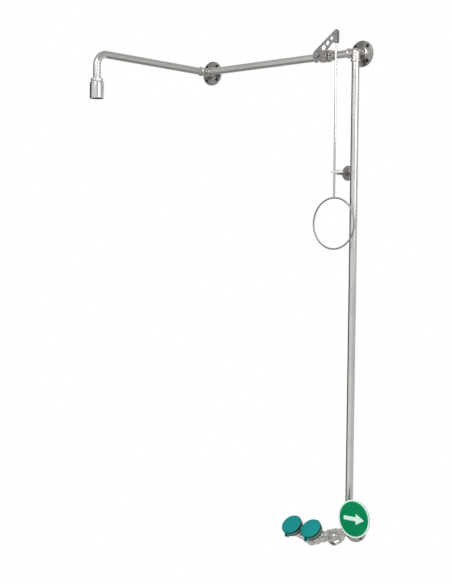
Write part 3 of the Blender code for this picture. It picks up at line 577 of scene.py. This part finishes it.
def wall_flange(name, x, z):
    """A round flange on the wall, with four countersunk holes and a black plug in each that paints the shade
    inside the hole.
    """
    place = aimed(Vector((x, 0, z)), ROOM)
    profile = [
        (FLANGE_BORE_R, 0), (FLANGE_R, 0), (FLANGE_R, FLANGE_T), (0.0205, 0.0072), (0.0155, 0.0088),
        (0.0144, WALL_PORT_LENGTH), (FLANGE_BORE_R, WALL_PORT_LENGTH),
    ]
    hole = [
        (0, -0.001), (FLANGE_HOLE_R, -0.001), (FLANGE_HOLE_R, 0.0054), (0.0052, FLANGE_T), (0.0052, 0.009),
        (0, 0.009),
    ]
    # The black plugs are painted shade: they darken the holes where shadow would be
    shade_plug_r = FLANGE_HOLE_R - 0.0001
    shade_plug = [
        (0, 0.0004), (shade_plug_r, 0.0004), (shade_plug_r, 0.0054), (0.0051, 0.0067), (0.0046, 0.0067), (0.0034, 0.0052),
        (0, 0.0048),
    ]
    work, tool, shade_plugs = bmesh.new(), bmesh.new(), bmesh.new()
    add_lathe(work, fillet(profile, 0.0012, 4, closed=True), place, 96, closed=True)
    for k in range(4):
        angle = math.radians(45 + 90 * k)
        centre = (FLANGE_HOLE_CIRCLE_R * math.cos(angle), FLANGE_HOLE_CIRCLE_R * math.sin(angle), 0)
        at = aimed(place @ Vector(centre), ROOM)
        add_lathe(tool, hole, at, 28)
        add_lathe(shade_plugs, shade_plug, at, 28)
    finish_piece(name + "_plate", cut(work, tool), flange_steel, FIXED, [name], sharp=28)
    finish_piece(name + "_hole_shade_plugs", shade_plugs, black, FIXED)


wall_flange("supply_flange", 0, 0)
wall_flange("left_support_flange", -SPAN, 0)
wall_flange("lower_support_flange", 0, -HEIGHT)


# Ball valves


def valve_casting(name, centre, flow, bosses):
    """The body, from its hexagon end to the face that the end piece screws into."""
    profile = [
        (0, -0.026), (PORT_R, -0.026), (0.0135, -0.0200), (0.0150, -0.0150), (0.0168, -0.0105),
        (0.0172, -0.004), (0.0172, 0.0155), (0.0, 0.0155),
    ]
    work = bmesh.new()
    add_lathe(work, fillet(profile, 0.0015, 3), aimed(centre, flow), 72)
    add_rod(work, centre, bosses[0], BOSS_R, 0.008, BOSS_END, 48, 0.0006)
    add_rod(work, centre, bosses[0], 0.0112, 0.008, 0.0188, 48, 0.0020)
    for direction in bosses[1:]:
        add_rod(work, centre, direction, BOSS_R, 0.008, BOSS_END, 48, 0.0006)
    add_hex(work, centre, flow, 0.0148, -VALVE_HALF, -0.0235)
    finish_piece(name + "_casting", fuse(work), cast, FIXED, [name], sharp=180)


def valve_end(prefix, centre, flow):
    """The screwed end piece: a hexagon, then a neck for the pipe."""
    neck = [
        (0, 0.0225), (0.0142, 0.0225), (0.0132, 0.0255), (0.0132, 0.0290), (0.0140, 0.0296),
        (0.0140, VALVE_HALF), (0, VALVE_HALF),
    ]
    work = bmesh.new()
    add_hex(work, centre, flow, 0.0172, 0.0162, 0.0232)
    add_lathe(work, fillet(neck, 0.0007, 3), aimed(centre, flow), 72)
    finish_piece(prefix + "_end_cap", work, cast, FIXED, [prefix + "_end_piece"])


def gland_nut(name, centre, stem):
    work = bmesh.new()
    add_hex(work, centre, stem, BOSS_R, NUT_START, 0.0293, 0.2)
    add_rod(work, centre, stem, 0.0066, NUT_START, 0.0297)
    finish_piece(name + "_hex", work, bright, FIXED, [name])


def lever_nut(name, centre, stem, body, finish):
    """A washer, a nut and the stem's domed end, on the face of the lever."""
    face = LEVER_OFFSET + LEVER_T / 2
    inner, outer, low, high = 0.0052, 0.0095, face + 0.0002, face + 0.0010
    washer = [(inner, low), (outer, low), (outer, high), (inner, high)]
    dome = [(0, face + 0.005), (0.0048, face + 0.005), (0.0044, face + 0.0062), (0, face + 0.0066)]
    work = bmesh.new()
    add_lathe(work, washer, aimed(centre, stem), 40, closed=True)
    add_hex(work, centre, stem, 0.0090, face + 0.0011, face + 0.0053, 0.5)
    add_lathe(work, dome, aimed(centre, stem), 40)
    finish_piece(name + "_hex", work, finish, body, [name])


def ball_valve(prefix, centre, flow, bosses, lever_body, nut_finish):
    """flow points out of the screwed end. The stem is in the first boss, a pivot screw in any second one."""
    stem = bosses[0]
    valve_casting(prefix + "_valve_body", centre, flow, bosses)
    valve_end(prefix + "_valve", centre, flow)
    gland_nut(prefix + "_gland_nut", centre, stem)
    lever_nut(prefix + "_lever_nut", centre, stem, lever_body, nut_finish)


ball_valve("shower", SHOWER_VALVE, RIGHT, (ROOM,), LEVER, lever_grey)
ball_valve("eyewash", EYE_VALVE, WALLWARD, (RIGHT, -RIGHT), PUSH, bright)


# Shower lever, rod, ring and guide


PIN = Vector((PIN_X, PULL_Y, PIN_Z))


def pull_lever():
    along = Vector((math.cos(LEVER_ANGLE), 0, math.sin(LEVER_ANGLE)))
    pivot = Vector((SHOWER_VALVE_X, PULL_Y, 0))
    place = axes(along, ROOM.cross(along), ROOM, pivot)
    lean = math.asin((LEVER_HUB_R - LEVER_TIP_R) / LEVER_LENGTH)
    quarter = math.pi / 2
    outline = arc((0, 0), LEVER_HUB_R, quarter - lean, 3 * quarter + lean, 40)
    outline += arc((LEVER_LENGTH, 0), LEVER_TIP_R, -quarter + lean, quarter - lean, 28)
    work, tool = bmesh.new(), bmesh.new()
    add_prism(work, outline, -LEVER_T / 2, LEVER_T / 2, place)
    for distance, radius in ((0.0, 0.0052), *LEVER_HOLES, (LEVER_LENGTH, 0.0032)):
        hole = [(0, -0.01), (radius, -0.01), (radius, 0.01), (0, 0.01)]
        add_lathe(tool, hole, aimed(pivot + along * distance, ROOM, 0.03), 40)
    work = cut(work, tool)
    finish_piece("pull_lever_plate", work, lever_grey, LEVER, ["pull_lever"], bevel=0.0005)


def rod_fork():
    """Two cheeks beside the lever's tip, a block between them below it, and a lock nut."""
    place = axes(RIGHT, UP, ROOM, PIN)
    cheek = [(-FORK_HALF, FORK_FOOT), (FORK_HALF, FORK_FOOT)]
    cheek += arc((0, 0), 0.0068, math.radians(28), math.radians(152), 16)
    block = [(-FORK_HALF, FORK_FOOT), (FORK_HALF, FORK_FOOT), (FORK_HALF, -0.0195), (-FORK_HALF, -0.0195)]
    work = bmesh.new()
    for low, high in ((-FORK_HALF, -FORK_SLOT_HALF), (FORK_SLOT_HALF, FORK_HALF)):
        add_prism(work, cheek, low, high, place)
    add_prism(work, block, -0.0025, 0.0025, place)
    add_hex(work, PIN, -UP, 0.0056, 0.0270, 0.0290)
    finish_piece("rod_fork_clevis", work, lever_grey, ROD, ["rod_fork"], bevel=0.0005)


def fork_pin():
    """The pin with its head on the room side, and its clip on the wall side."""
    work = bmesh.new()
    head = fillet([(0, 0.0063), (0.0045, 0.0063), (0.0045, 0.0076), (0, 0.0080)], 0.0005, 3)
    add_lathe(work, head, aimed(PIN, ROOM), 40)
    add_rod(work, PIN, ROOM, 0.0029, -0.0075, 0.0066)
    finish_piece("fork_pin_turned", work, lever_grey, LEVER, ["fork_pin"])
    work = bmesh.new()
    clip = [(0.0031, 0.0063), (0.0048, 0.0063), (0.0048, 0.0073), (0.0031, 0.0073)]
    add_lathe(work, fillet(clip, 0.0003, 2, closed=True), aimed(PIN, WALLWARD), 40, closed=True)
    finish_piece("fork_pin_circlip", work, bright, LEVER, ["fork_pin_clip"])


def pull_rod():
    """The rod, and the ring with the small weld that joins them."""
    ring_top = RING_CENTRE_Z + RING_R
    work = bmesh.new()
    add_rod(work, (PIN_X, PULL_Y, 0), UP, ROD_R, ring_top + 0.0015, PIN_Z - 0.0223, 40)
    finish_piece("pull_rod_bar", work, tube_z, ROD, ["pull_rod"])
    work = bmesh.new()
    angles = [k * math.pi / 10 for k in range(20)]
    wire = [(RING_R + RING_WIRE_R * math.cos(a), RING_WIRE_R * math.sin(a)) for a in angles]
    add_lathe(work, wire, aimed((PIN_X, PULL_Y, RING_CENTRE_Z), ROOM), 180, closed=True)
    add_lathe(work, bulge(0.0032, 0.0034, 12), Matrix.Translation((PIN_X, PULL_Y, ring_top + 0.0016)), 28)
    finish_piece("pull_ring_handle", work, rod_steel, ROD, ["pull_ring"])


pull_lever()
rod_fork()
fork_pin()
pull_rod()


def rod_guide():
    """A small flange with two screws, a bar out from the wall, and the slotted eye that the rod runs in."""
    base = Vector((PIN_X, 0, GUIDE_Z))
    flange = [(0, 0), (0.0215, 0), (0.0215, 0.0048), (0.0110, 0.0052), (0.0082, 0.0066), (0, 0.0066)]
    screw = [(0, 0.0046), (0.0038, 0.0046), (0.0036, 0.0056), (0.0012, 0.0064), (0, 0.0062)]
    screw_offset = 0.0145
    work = bmesh.new()
    add_lathe(work, fillet(flange, 0.0009, 3), aimed(base, ROOM), 72)
    for side in (-1, 1):
        add_lathe(work, fillet(screw, 0.0004, 2), aimed(base + UP * (side * screw_offset), ROOM), 28)
    finish_piece("guide_flange_plate", work, lever_grey, FIXED, ["guide_flange"])
    work = bmesh.new()
    add_rod(work, base, ROOM, 0.0070, 0.0053, GUIDE_TUBE_END, 48, 0.0006)
    finish_piece("guide_tube_bar", work, lever_grey, FIXED, ["guide_tube"])

    work = bmesh.new()
    quarter = math.pi / 2
    outer, inner = (
        arc((EYE_SWAY, 0), radius, -quarter, quarter, 24) + arc((0, 0), radius, quarter, 3 * quarter, 24)
        for radius in (EYE_R, EYE_HOLE_R)
    )
    add_band(work, outer, inner, -0.003, 0.003, Matrix.Translation((PIN_X, PULL_Y, GUIDE_Z)))
    add_rod(work, base, ROOM, 0.0046, GUIDE_TUBE_END, -PULL_Y - 0.0062, 40, 0.0004)
    finish_piece("guide_eye_loop", work, nylon, FIXED, ["guide_eye"], bevel=0.0009)


rod_guide()


# Shower head


def grips(count, depth, first, last):
    """Shallow flutes round a lathed piece, on the profile's points from first to last."""
    def wobble(index, angle):
        if first <= index <= last:
            return -depth * (1 + math.cos(count * angle))
        return 0.0
    return wobble


def head_shell(place):
    """A bell with a fine groove near its top."""
    inner = HEAD_R - 0.002
    groove = HEAD_R - 0.0005
    profile = [
        (inner, 0.0006), (HEAD_R - 0.0006, 0), (HEAD_R, 0.0030), (HEAD_R, 0.0405), (groove, 0.0410),
        (groove, 0.0416), (HEAD_R, 0.0421), (HEAD_R, 0.0455), (0.0182, HEAD_HEIGHT), (NECK_R, HEAD_HEIGHT),
        (NECK_R, 0.042), (inner, 0.042),
    ]
    work = bmesh.new()
    add_lathe(work, fillet(profile, 0.0011, 4, closed=True), place, 96, closed=True)
    finish_piece("shower_head_bell", work, bright, FIXED, ["shower_head_shell"])


def head_nut(place):
    profile = [(NECK_R, 0.0483), (0.0172, 0.0483), (0.0172, 0.0560), (0.0160, 0.0578), (NECK_R, 0.0578)]
    flutes = grips(30, 0.00025, 5, 12)
    work = bmesh.new()
    add_lathe(work, fillet(profile, 0.0008, 3, closed=True), place, 180, closed=True, wobble=flutes)
    finish_piece("shower_head_ring_nut", work, bright, FIXED, ["shower_head_nut"])


def spray_plate(place):
    """The plate in the head's mouth, with rings of small open jets."""
    plate = [(0, 0.0034), (0.0150, 0.0030), (0.0166, 0.0018), (0.0181, 0.0018), (0.0181, 0.0060), (0, 0.0060)]
    jet = [(0, 0), (0.0009, 0), (0.0007, 0.0014), (0.0004, 0.0014), (0.0004, 0.0006), (0, 0.0006)]
    work = bmesh.new()
    add_lathe(work, fillet(plate, 0.0006, 3), place, 72)
    for count, radius in ((1, 0.0), (6, 0.0045), (12, 0.0090), (18, 0.0133)):
        for k in range(count):
            angle = 2 * math.pi * k / count
            at = place @ Vector((radius * math.cos(angle), radius * math.sin(angle), 0.0036))
            add_lathe(work, jet, aimed(at, -UP), 14)
    finish_piece("spray_plate_jets", work, black, FIXED, ["spray_plate"])


head_place = Matrix.Translation((-SPAN, -REACH, HEAD_BOTTOM))
head_shell(head_place)
head_nut(head_place)
spray_plate(head_place)


# Eyewash heads


def nozzle_arm(suffix, side):
    """From the tee to a ball under the head, and up from there into the cup."""
    joint = arm_joint(side)
    inward = TEE - joint
    ball_r = ARM_R * 1.02
    outlet = [(0, 0), (ARM_R, 0), (ARM_R, 0.0060), (CUP_FOOT_R, 0.0075), (CUP_FOOT_R, 0.0155), (0, 0.0155)]
    work = bmesh.new()
    add_lathe(work, bulge(ball_r, ball_r), aimed(joint, UP), 48)
    add_rod(work, joint, inward, ARM_R, 0, inward.length - 0.0140, 64, 0.0005)
    add_lathe(work, fillet(outlet, 0.0010, 3), aimed(joint, NOZZLE_DIRECTION), 64)
    name = "nozzle_arm_" + suffix
    finish_piece(name + "_casting", fuse(work), cast, FIXED, [name], sharp=180)


def spray_cup(suffix, place, hinge_place):
    """The cup under the cap, with a groove below its rim and a knuckle for the hinge."""
    wall = CUP_R - 0.0030
    groove = CUP_R - 0.0008
    profile = [
        (0.0065, 0.0292), (0.0100, 0.0292), (0.0100, 0.0360), (CUP_FOOT_R, 0.0362), (CUP_FOOT_R, 0.0390),
        (0.0150, 0.0412), (0.0225, 0.0452), (0.0268, 0.0488), (CUP_R, 0.0520), (CUP_R, 0.0558),
        (groove, 0.0562), (groove, 0.0574), (CUP_R, 0.0578), (CUP_R, CUP_RIM), (wall, CUP_RIM),
        (wall, 0.0530), (0.0120, 0.0470), (0.0065, 0.0440),
    ]
    knuckle_end = arc((0, 0), 0.0024, -math.pi / 2, math.pi / 2 - 0.7, 14)
    knuckle = [(-0.0085, -0.0018), *knuckle_end, (-0.0085, 0.0016)]
    work = bmesh.new()
    add_lathe(work, fillet(profile, 0.0008, 3, closed=True), place, 96, closed=True)
    add_prism(work, knuckle, -0.0030, 0.0030, hinge_place)
    node = "spray_head_" + suffix
    finish_piece("spray_cup_" + suffix, work, head_green, FIXED, [node], bevel=0.0003)


def cup_highlight_ring(suffix, place):
    """A pale ring in the cup's groove: a painted highlight for the light caught on the cup's rim."""
    inner, outer = CUP_R - 0.0010, CUP_R + 0.0001
    profile = [(inner, 0.0564), (outer, 0.0564), (outer, 0.0572), (inner, 0.0572)]
    work = bmesh.new()
    add_lathe(work, fillet(profile, 0.0002, 2, closed=True), place, 96, closed=True)
    finish_piece("spray_cup_painted_highlight_" + suffix, work, sign_pale, FIXED)


def cap_skirt(suffix, place):
    """The cap's lower part, with fine grips round it, in a darker teal that paints the shade falling on the
    cap's rim.
    """
    inner, outer = CAP_R - 0.0028, CAP_R - 0.0002
    profile = [
        (0, CAP_LOW + 0.0022), (inner, CAP_LOW + 0.0022), (inner, CAP_LOW), (outer, CAP_LOW),
        (outer, CAP_LOW + 0.0046), (CAP_R - 0.0012, CAP_LOW + 0.0052), (0, CAP_LOW + 0.0052),
    ]
    work = bmesh.new()
    add_lathe(work, fillet(profile, 0.0003, 2), place, 240, wobble=grips(40, 0.00012, 8, 15))
    name, node, body = "dust_cap_skirt_" + suffix, "dust_cap_" + suffix, suffix + "_dust_cap"
    finish_piece(name, work, teal_painted_shade, body, [node], bevel=0.0002)


def cap_face(suffix, place, hinge_place):
    """The cap's domed face with a groove round it, and two ears that reach down to the hinge."""
    dome = [
        (0, CAP_LOW + 0.0050), (CAP_R - 0.0016, CAP_LOW + 0.0050), (CAP_R - 0.0010, CAP_FACE - 0.0018),
        (CAP_R - 0.0022, CAP_FACE - 0.0006), (CAP_R * 0.80, CAP_FACE - 0.0001),
        (CAP_R * 0.78, CAP_FACE - 0.0006), (CAP_R * 0.75, CAP_FACE - 0.0006), (CAP_R * 0.73, CAP_FACE),
        (CAP_R * 0.4, CAP_FACE + 0.0004), (0, CAP_FACE + 0.0006),
    ]
    ear = arc((0, 0), 0.0026, -math.pi / 2 - 0.3, 0.9, 16)
    ear += [(-0.0033, 0.0066), (-0.0060, 0.0066), (-0.0060, 0.0030), (-0.0042, 0.0030), (-0.0040, -0.0008)]
    work = bmesh.new()
    add_lathe(work, fillet(dome, 0.0005, 3), place, 96)
    for near, far in ((0.0034, 0.0060), (-0.0060, -0.0034)):
        add_prism(work, ear, near, far, hinge_place)
    finish_piece("dust_cap_face_" + suffix, work, teal, suffix + "_dust_cap")


def eyewash_head(suffix, side):
    centre = Vector((side * NOZZLE_X, TEE_Y, -HEIGHT))
    place = aimed(centre, NOZZLE_DIRECTION)
    hinge = centre + NOZZLE_DIRECTION * (CUP_RIM - 0.0020) + DOWNHILL * HINGE_OFFSET
    hinge_place = axes(DOWNHILL, NOZZLE_DIRECTION, DOWNHILL.cross(NOZZLE_DIRECTION), hinge)
    nozzle_arm(suffix, side)
    spray_cup(suffix, place, hinge_place)
    cup_highlight_ring(suffix, place)
    cap_skirt(suffix, place)
    cap_face(suffix, place, hinge_place)


eyewash_head("left", -1)
eyewash_head("right", 1)


# Push lever and plate


def ribbon(path, half):
    """The outline of a flat bar bent along a path."""
    points = [Vector(point) for point in path]
    left, right = [], []
    for k, point in enumerate(points):
        before = (point - points[k - 1]).normalized() if k else (points[1] - point).normalized()
        after = (points[k + 1] - point).normalized() if k + 1 < len(points) else before
        heading = (before + after).normalized()
        normal = Vector((-heading.y, heading.x))
        offset = normal * half / max(before.dot(heading), 0.6)
        left.append((point + offset)[:])
        right.append((point - offset)[:])
    return right + left[::-1]


def push_lever():
    """A leaning stirrup under the valve, an upright bar from it, and the tab that the plate sits on."""
    half = LEVER_T / 2
    right = LEVER_OFFSET
    lean = Matrix.Rotation(STRAP_LEAN, 3, "X")
    leaned = axes(RIGHT, lean @ UP, lean @ ROOM, EYE_VALVE)
    strap = [
        (STRAP_LEFT, 0.0), (STRAP_LEFT, -STRAP_SHOULDER), (STRAP_LOW_X, -STRAP_DEPTH),
        (right, -STRAP_SHOULDER), (right, 0.0),
    ]
    bar = [
        (right, 0.0), (right, 0.010), (right + 0.0006, 0.0135), (right + 0.0038, 0.0195),
        (PLATE_X - 0.0075, PLATE_Z - 0.0085),
    ]
    work = bmesh.new()
    strap_outline = ribbon(fillet(strap, STRAP_BEND_R, 12), half)
    add_prism(work, strap_outline, -STRAP_HALF_WIDTH, STRAP_HALF_WIDTH, leaned)
    add_prism(work, ribbon(bar, half), -0.0095, BAR_BACK, axes(RIGHT, UP, ROOM, EYE_VALVE))
    ring_half = half + 0.0001
    add_rod(work, EYE_VALVE, RIGHT, 0.0105, right - ring_half, right + ring_half, 56, 0.0005)
    add_rod(work, EYE_VALVE, -RIGHT, 0.0085, -STRAP_LEFT - ring_half, -STRAP_LEFT + ring_half, 48, 0.0005)
    tab = EYE_VALVE + RIGHT * PLATE_X + UP * PLATE_Z
    add_rod(work, tab, ROOM, 0.013, BAR_BACK - LEVER_T, BAR_BACK, 56, 0.0006)
    finish_piece("push_lever_stirrup", work, cast, PUSH, ["push_lever"], bevel=0.0005)


def pivot_screw():
    """The shouldered screw that the stirrup turns on, opposite the stem."""
    screw = [
        (0, 0.020), (0.004, 0.020), (0.004, 0.0312), (0.0070, 0.0312), (0.0070, 0.0345), (0.0060, 0.0355),
        (0, 0.0355),
    ]
    work = bmesh.new()
    add_lathe(work, fillet(screw, 0.0004, 2), aimed(EYE_VALVE, -RIGHT), 40)
    finish_piece("pivot_screw_turned", work, bright, FIXED, ["push_lever_pivot_screw"])


def plate_disc(place):
    disc = [(0, 0), (PLATE_R, 0), (PLATE_R, SIGN_FACE), (PLATE_R - SIGN_RIM_WIDTH, SIGN_FACE), (0, SIGN_FACE)]
    work = bmesh.new()
    add_lathe(work, fillet(disc, 0.0004, 2), place, 128)
    finish_piece("push_plate_face", work, sign_green, PUSH, ["push_plate"])


def plate_rim(place):
    inner, outer = PLATE_R - SIGN_RIM_WIDTH, PLATE_R - 0.0001
    rim = [(inner, SIGN_RIM_LOW), (outer, SIGN_RIM_LOW), (outer, SIGN_RIM_HIGH), (inner, SIGN_RIM_HIGH)]
    work = bmesh.new()
    add_lathe(work, fillet(rim, 0.0003, 2, closed=True), place, 128, closed=True)
    finish_piece("push_plate_rim", work, sign_pale, PUSH)


def plate_arrow(centre):
    tail, neck, tip = -0.034, 0.006, 0.034
    half_shaft, half_head = 0.0055, 0.0150
    arrow = [
        (tail, -half_shaft), (neck, -half_shaft), (neck, -half_head), (tip, 0.0), (neck, half_head),
        (neck, half_shaft), (tail, half_shaft),
    ]
    work = bmesh.new()
    add_prism(work, arrow, SIGN_FACE - 0.0001, SIGN_FACE + 0.0003, axes(RIGHT, UP, ROOM, centre))
    finish_piece("push_plate_arrow", work, sign_pale, PUSH, bevel=0.0001)


def plate_rivet(centre, place):
    """The rivet's head on the face, and its tail behind the bar."""
    head = [(0, SIGN_FACE), (0.0042, SIGN_FACE), (0.0038, 0.0034), (0, 0.0040)]
    work = bmesh.new()
    add_lathe(work, fillet(head, 0.0004, 3), place, 36)
    add_rod(work, centre, WALLWARD, 0.0042, 0.0034, 0.0050, 32)
    finish_piece("plate_rivet_dome", work, sign_pale, PUSH, ["plate_rivet"])


push_lever()
pivot_screw()
plate_centre = Vector((PLATE_X, PLATE_BACK_Y, PLATE_Z - HEIGHT))
plate_place = aimed(plate_centre, ROOM)
plate_disc(plate_place)
plate_rim(plate_place)
plate_arrow(plate_centre)
plate_rivet(plate_centre, plate_place)


# Floor, camera, light

FLOOR_Z = -2.34


def add_floor():
    centre = (-0.3, -0.4, FLOOR_Z)
    bpy.ops.mesh.primitive_circle_add(vertices=96, radius=1.5, fill_type="NGON", location=centre)
    floor = bpy.context.object
    floor.name = "floor"
    paint = surface("floor_paint", (0.86, 0.86, 0.85), (0.83, 0.83, 0.82), (0.55, 0.65), 0.0)
    floor.data.materials.append(paint)


def add_camera():
    yaw, pitch, roll = math.radians(42.486), math.radians(-1.631), math.radians(0.676)
    forward = Vector((-math.sin(yaw) * math.cos(pitch), math.cos(yaw) * math.cos(pitch), math.sin(pitch)))
    level_right = Vector((math.cos(yaw), math.sin(yaw), 0))
    level_up = level_right.cross(forward)
    right = level_right * math.cos(roll) + level_up * math.sin(roll)
    up = level_up * math.cos(roll) - level_right * math.sin(roll)
    data = bpy.data.cameras.new("camera")
    data.sensor_width = 36.0
    data.lens = 73.26
    camera = bpy.data.objects.new("camera", data)
    camera.matrix_world = axes(right, up, -forward, (1.98683, -2.72596, -0.57668))
    bpy.context.scene.collection.objects.link(camera)
    bpy.context.scene.camera = camera


def add_lamps():
    for name, location, target, size, power in (
        ("key", (0.4, -3.2, 1.6), (-0.2, 0, -0.5), 1.6, 60.0),
        ("fill", (2.8, -0.6, 0.4), (-0.1, -0.1, -0.7), 1.2, 25.0),
    ):
        light = bpy.data.lights.new(name, "AREA")
        light.size = size
        light.energy = power
        lamp = bpy.data.objects.new(name, light)
        lamp.matrix_world = aimed(location, Vector(location) - Vector(target))
        bpy.context.scene.collection.objects.link(lamp)


WHITE = (1.0, 1.0, 1.0)
# Each card has a direction and two stops, between which one shade turns into the other
CARDS = (
    ((-0.976, -0.216, 0.0), ((0.77, WHITE), (0.91, (0.07, 0.07, 0.075)))),
    ((0.945, 0.327, 0.0), ((0.20, WHITE), (0.70, (0.76, 0.76, 0.76)))),
    ((0.0, 0.0, 1.0), ((0.30, WHITE), (0.55, (0.62, 0.62, 0.62)))),
    ((0.0, 0.0, -1.0), ((0.36, WHITE), (0.64, (0.34, 0.34, 0.34)))),
)


def card_shade(nodes, links):
    """The cards' shades, multiplied together."""
    direction = nodes.new("ShaderNodeTexCoord").outputs["Generated"]
    shade = None
    for towards, stops in CARDS:
        dot = nodes.new("ShaderNodeVectorMath")
        dot.operation = "DOT_PRODUCT"
        dot.inputs[1].default_value = towards
        links.new(direction, dot.inputs[0])
        card = ramp(nodes, links, dot.outputs["Value"], stops)
        if shade is None:
            shade = card
            continue
        both = nodes.new("ShaderNodeVectorMath")
        both.operation = "MULTIPLY"
        links.new(shade, both.inputs[0])
        links.new(card, both.inputs[1])
        shade = both.outputs["Vector"]
    return shade


def add_world():
    """Reflections and light come from the cards. The camera itself sees plain white."""
    world = bpy.data.worlds.new("studio")
    bpy.context.scene.world = world
    world.use_nodes = True
    nodes, links = world.node_tree.nodes, world.node_tree.links
    links.new(card_shade(nodes, links), nodes["Background"].inputs["Color"])
    plain = nodes.new("ShaderNodeBackground")
    plain.inputs["Color"].default_value = (*WHITE, 1.0)
    backdrop = nodes.new("ShaderNodeMixShader")
    links.new(nodes.new("ShaderNodeLightPath").outputs["Is Camera Ray"], backdrop.inputs[0])
    links.new(nodes["Background"].outputs[0], backdrop.inputs[1])
    links.new(plain.outputs[0], backdrop.inputs[2])
    links.new(backdrop.outputs[0], nodes["World Output"].inputs["Surface"])


add_floor()
add_camera()
add_lamps()
add_world()
bpy.context.scene.view_settings.view_transform = "Standard"
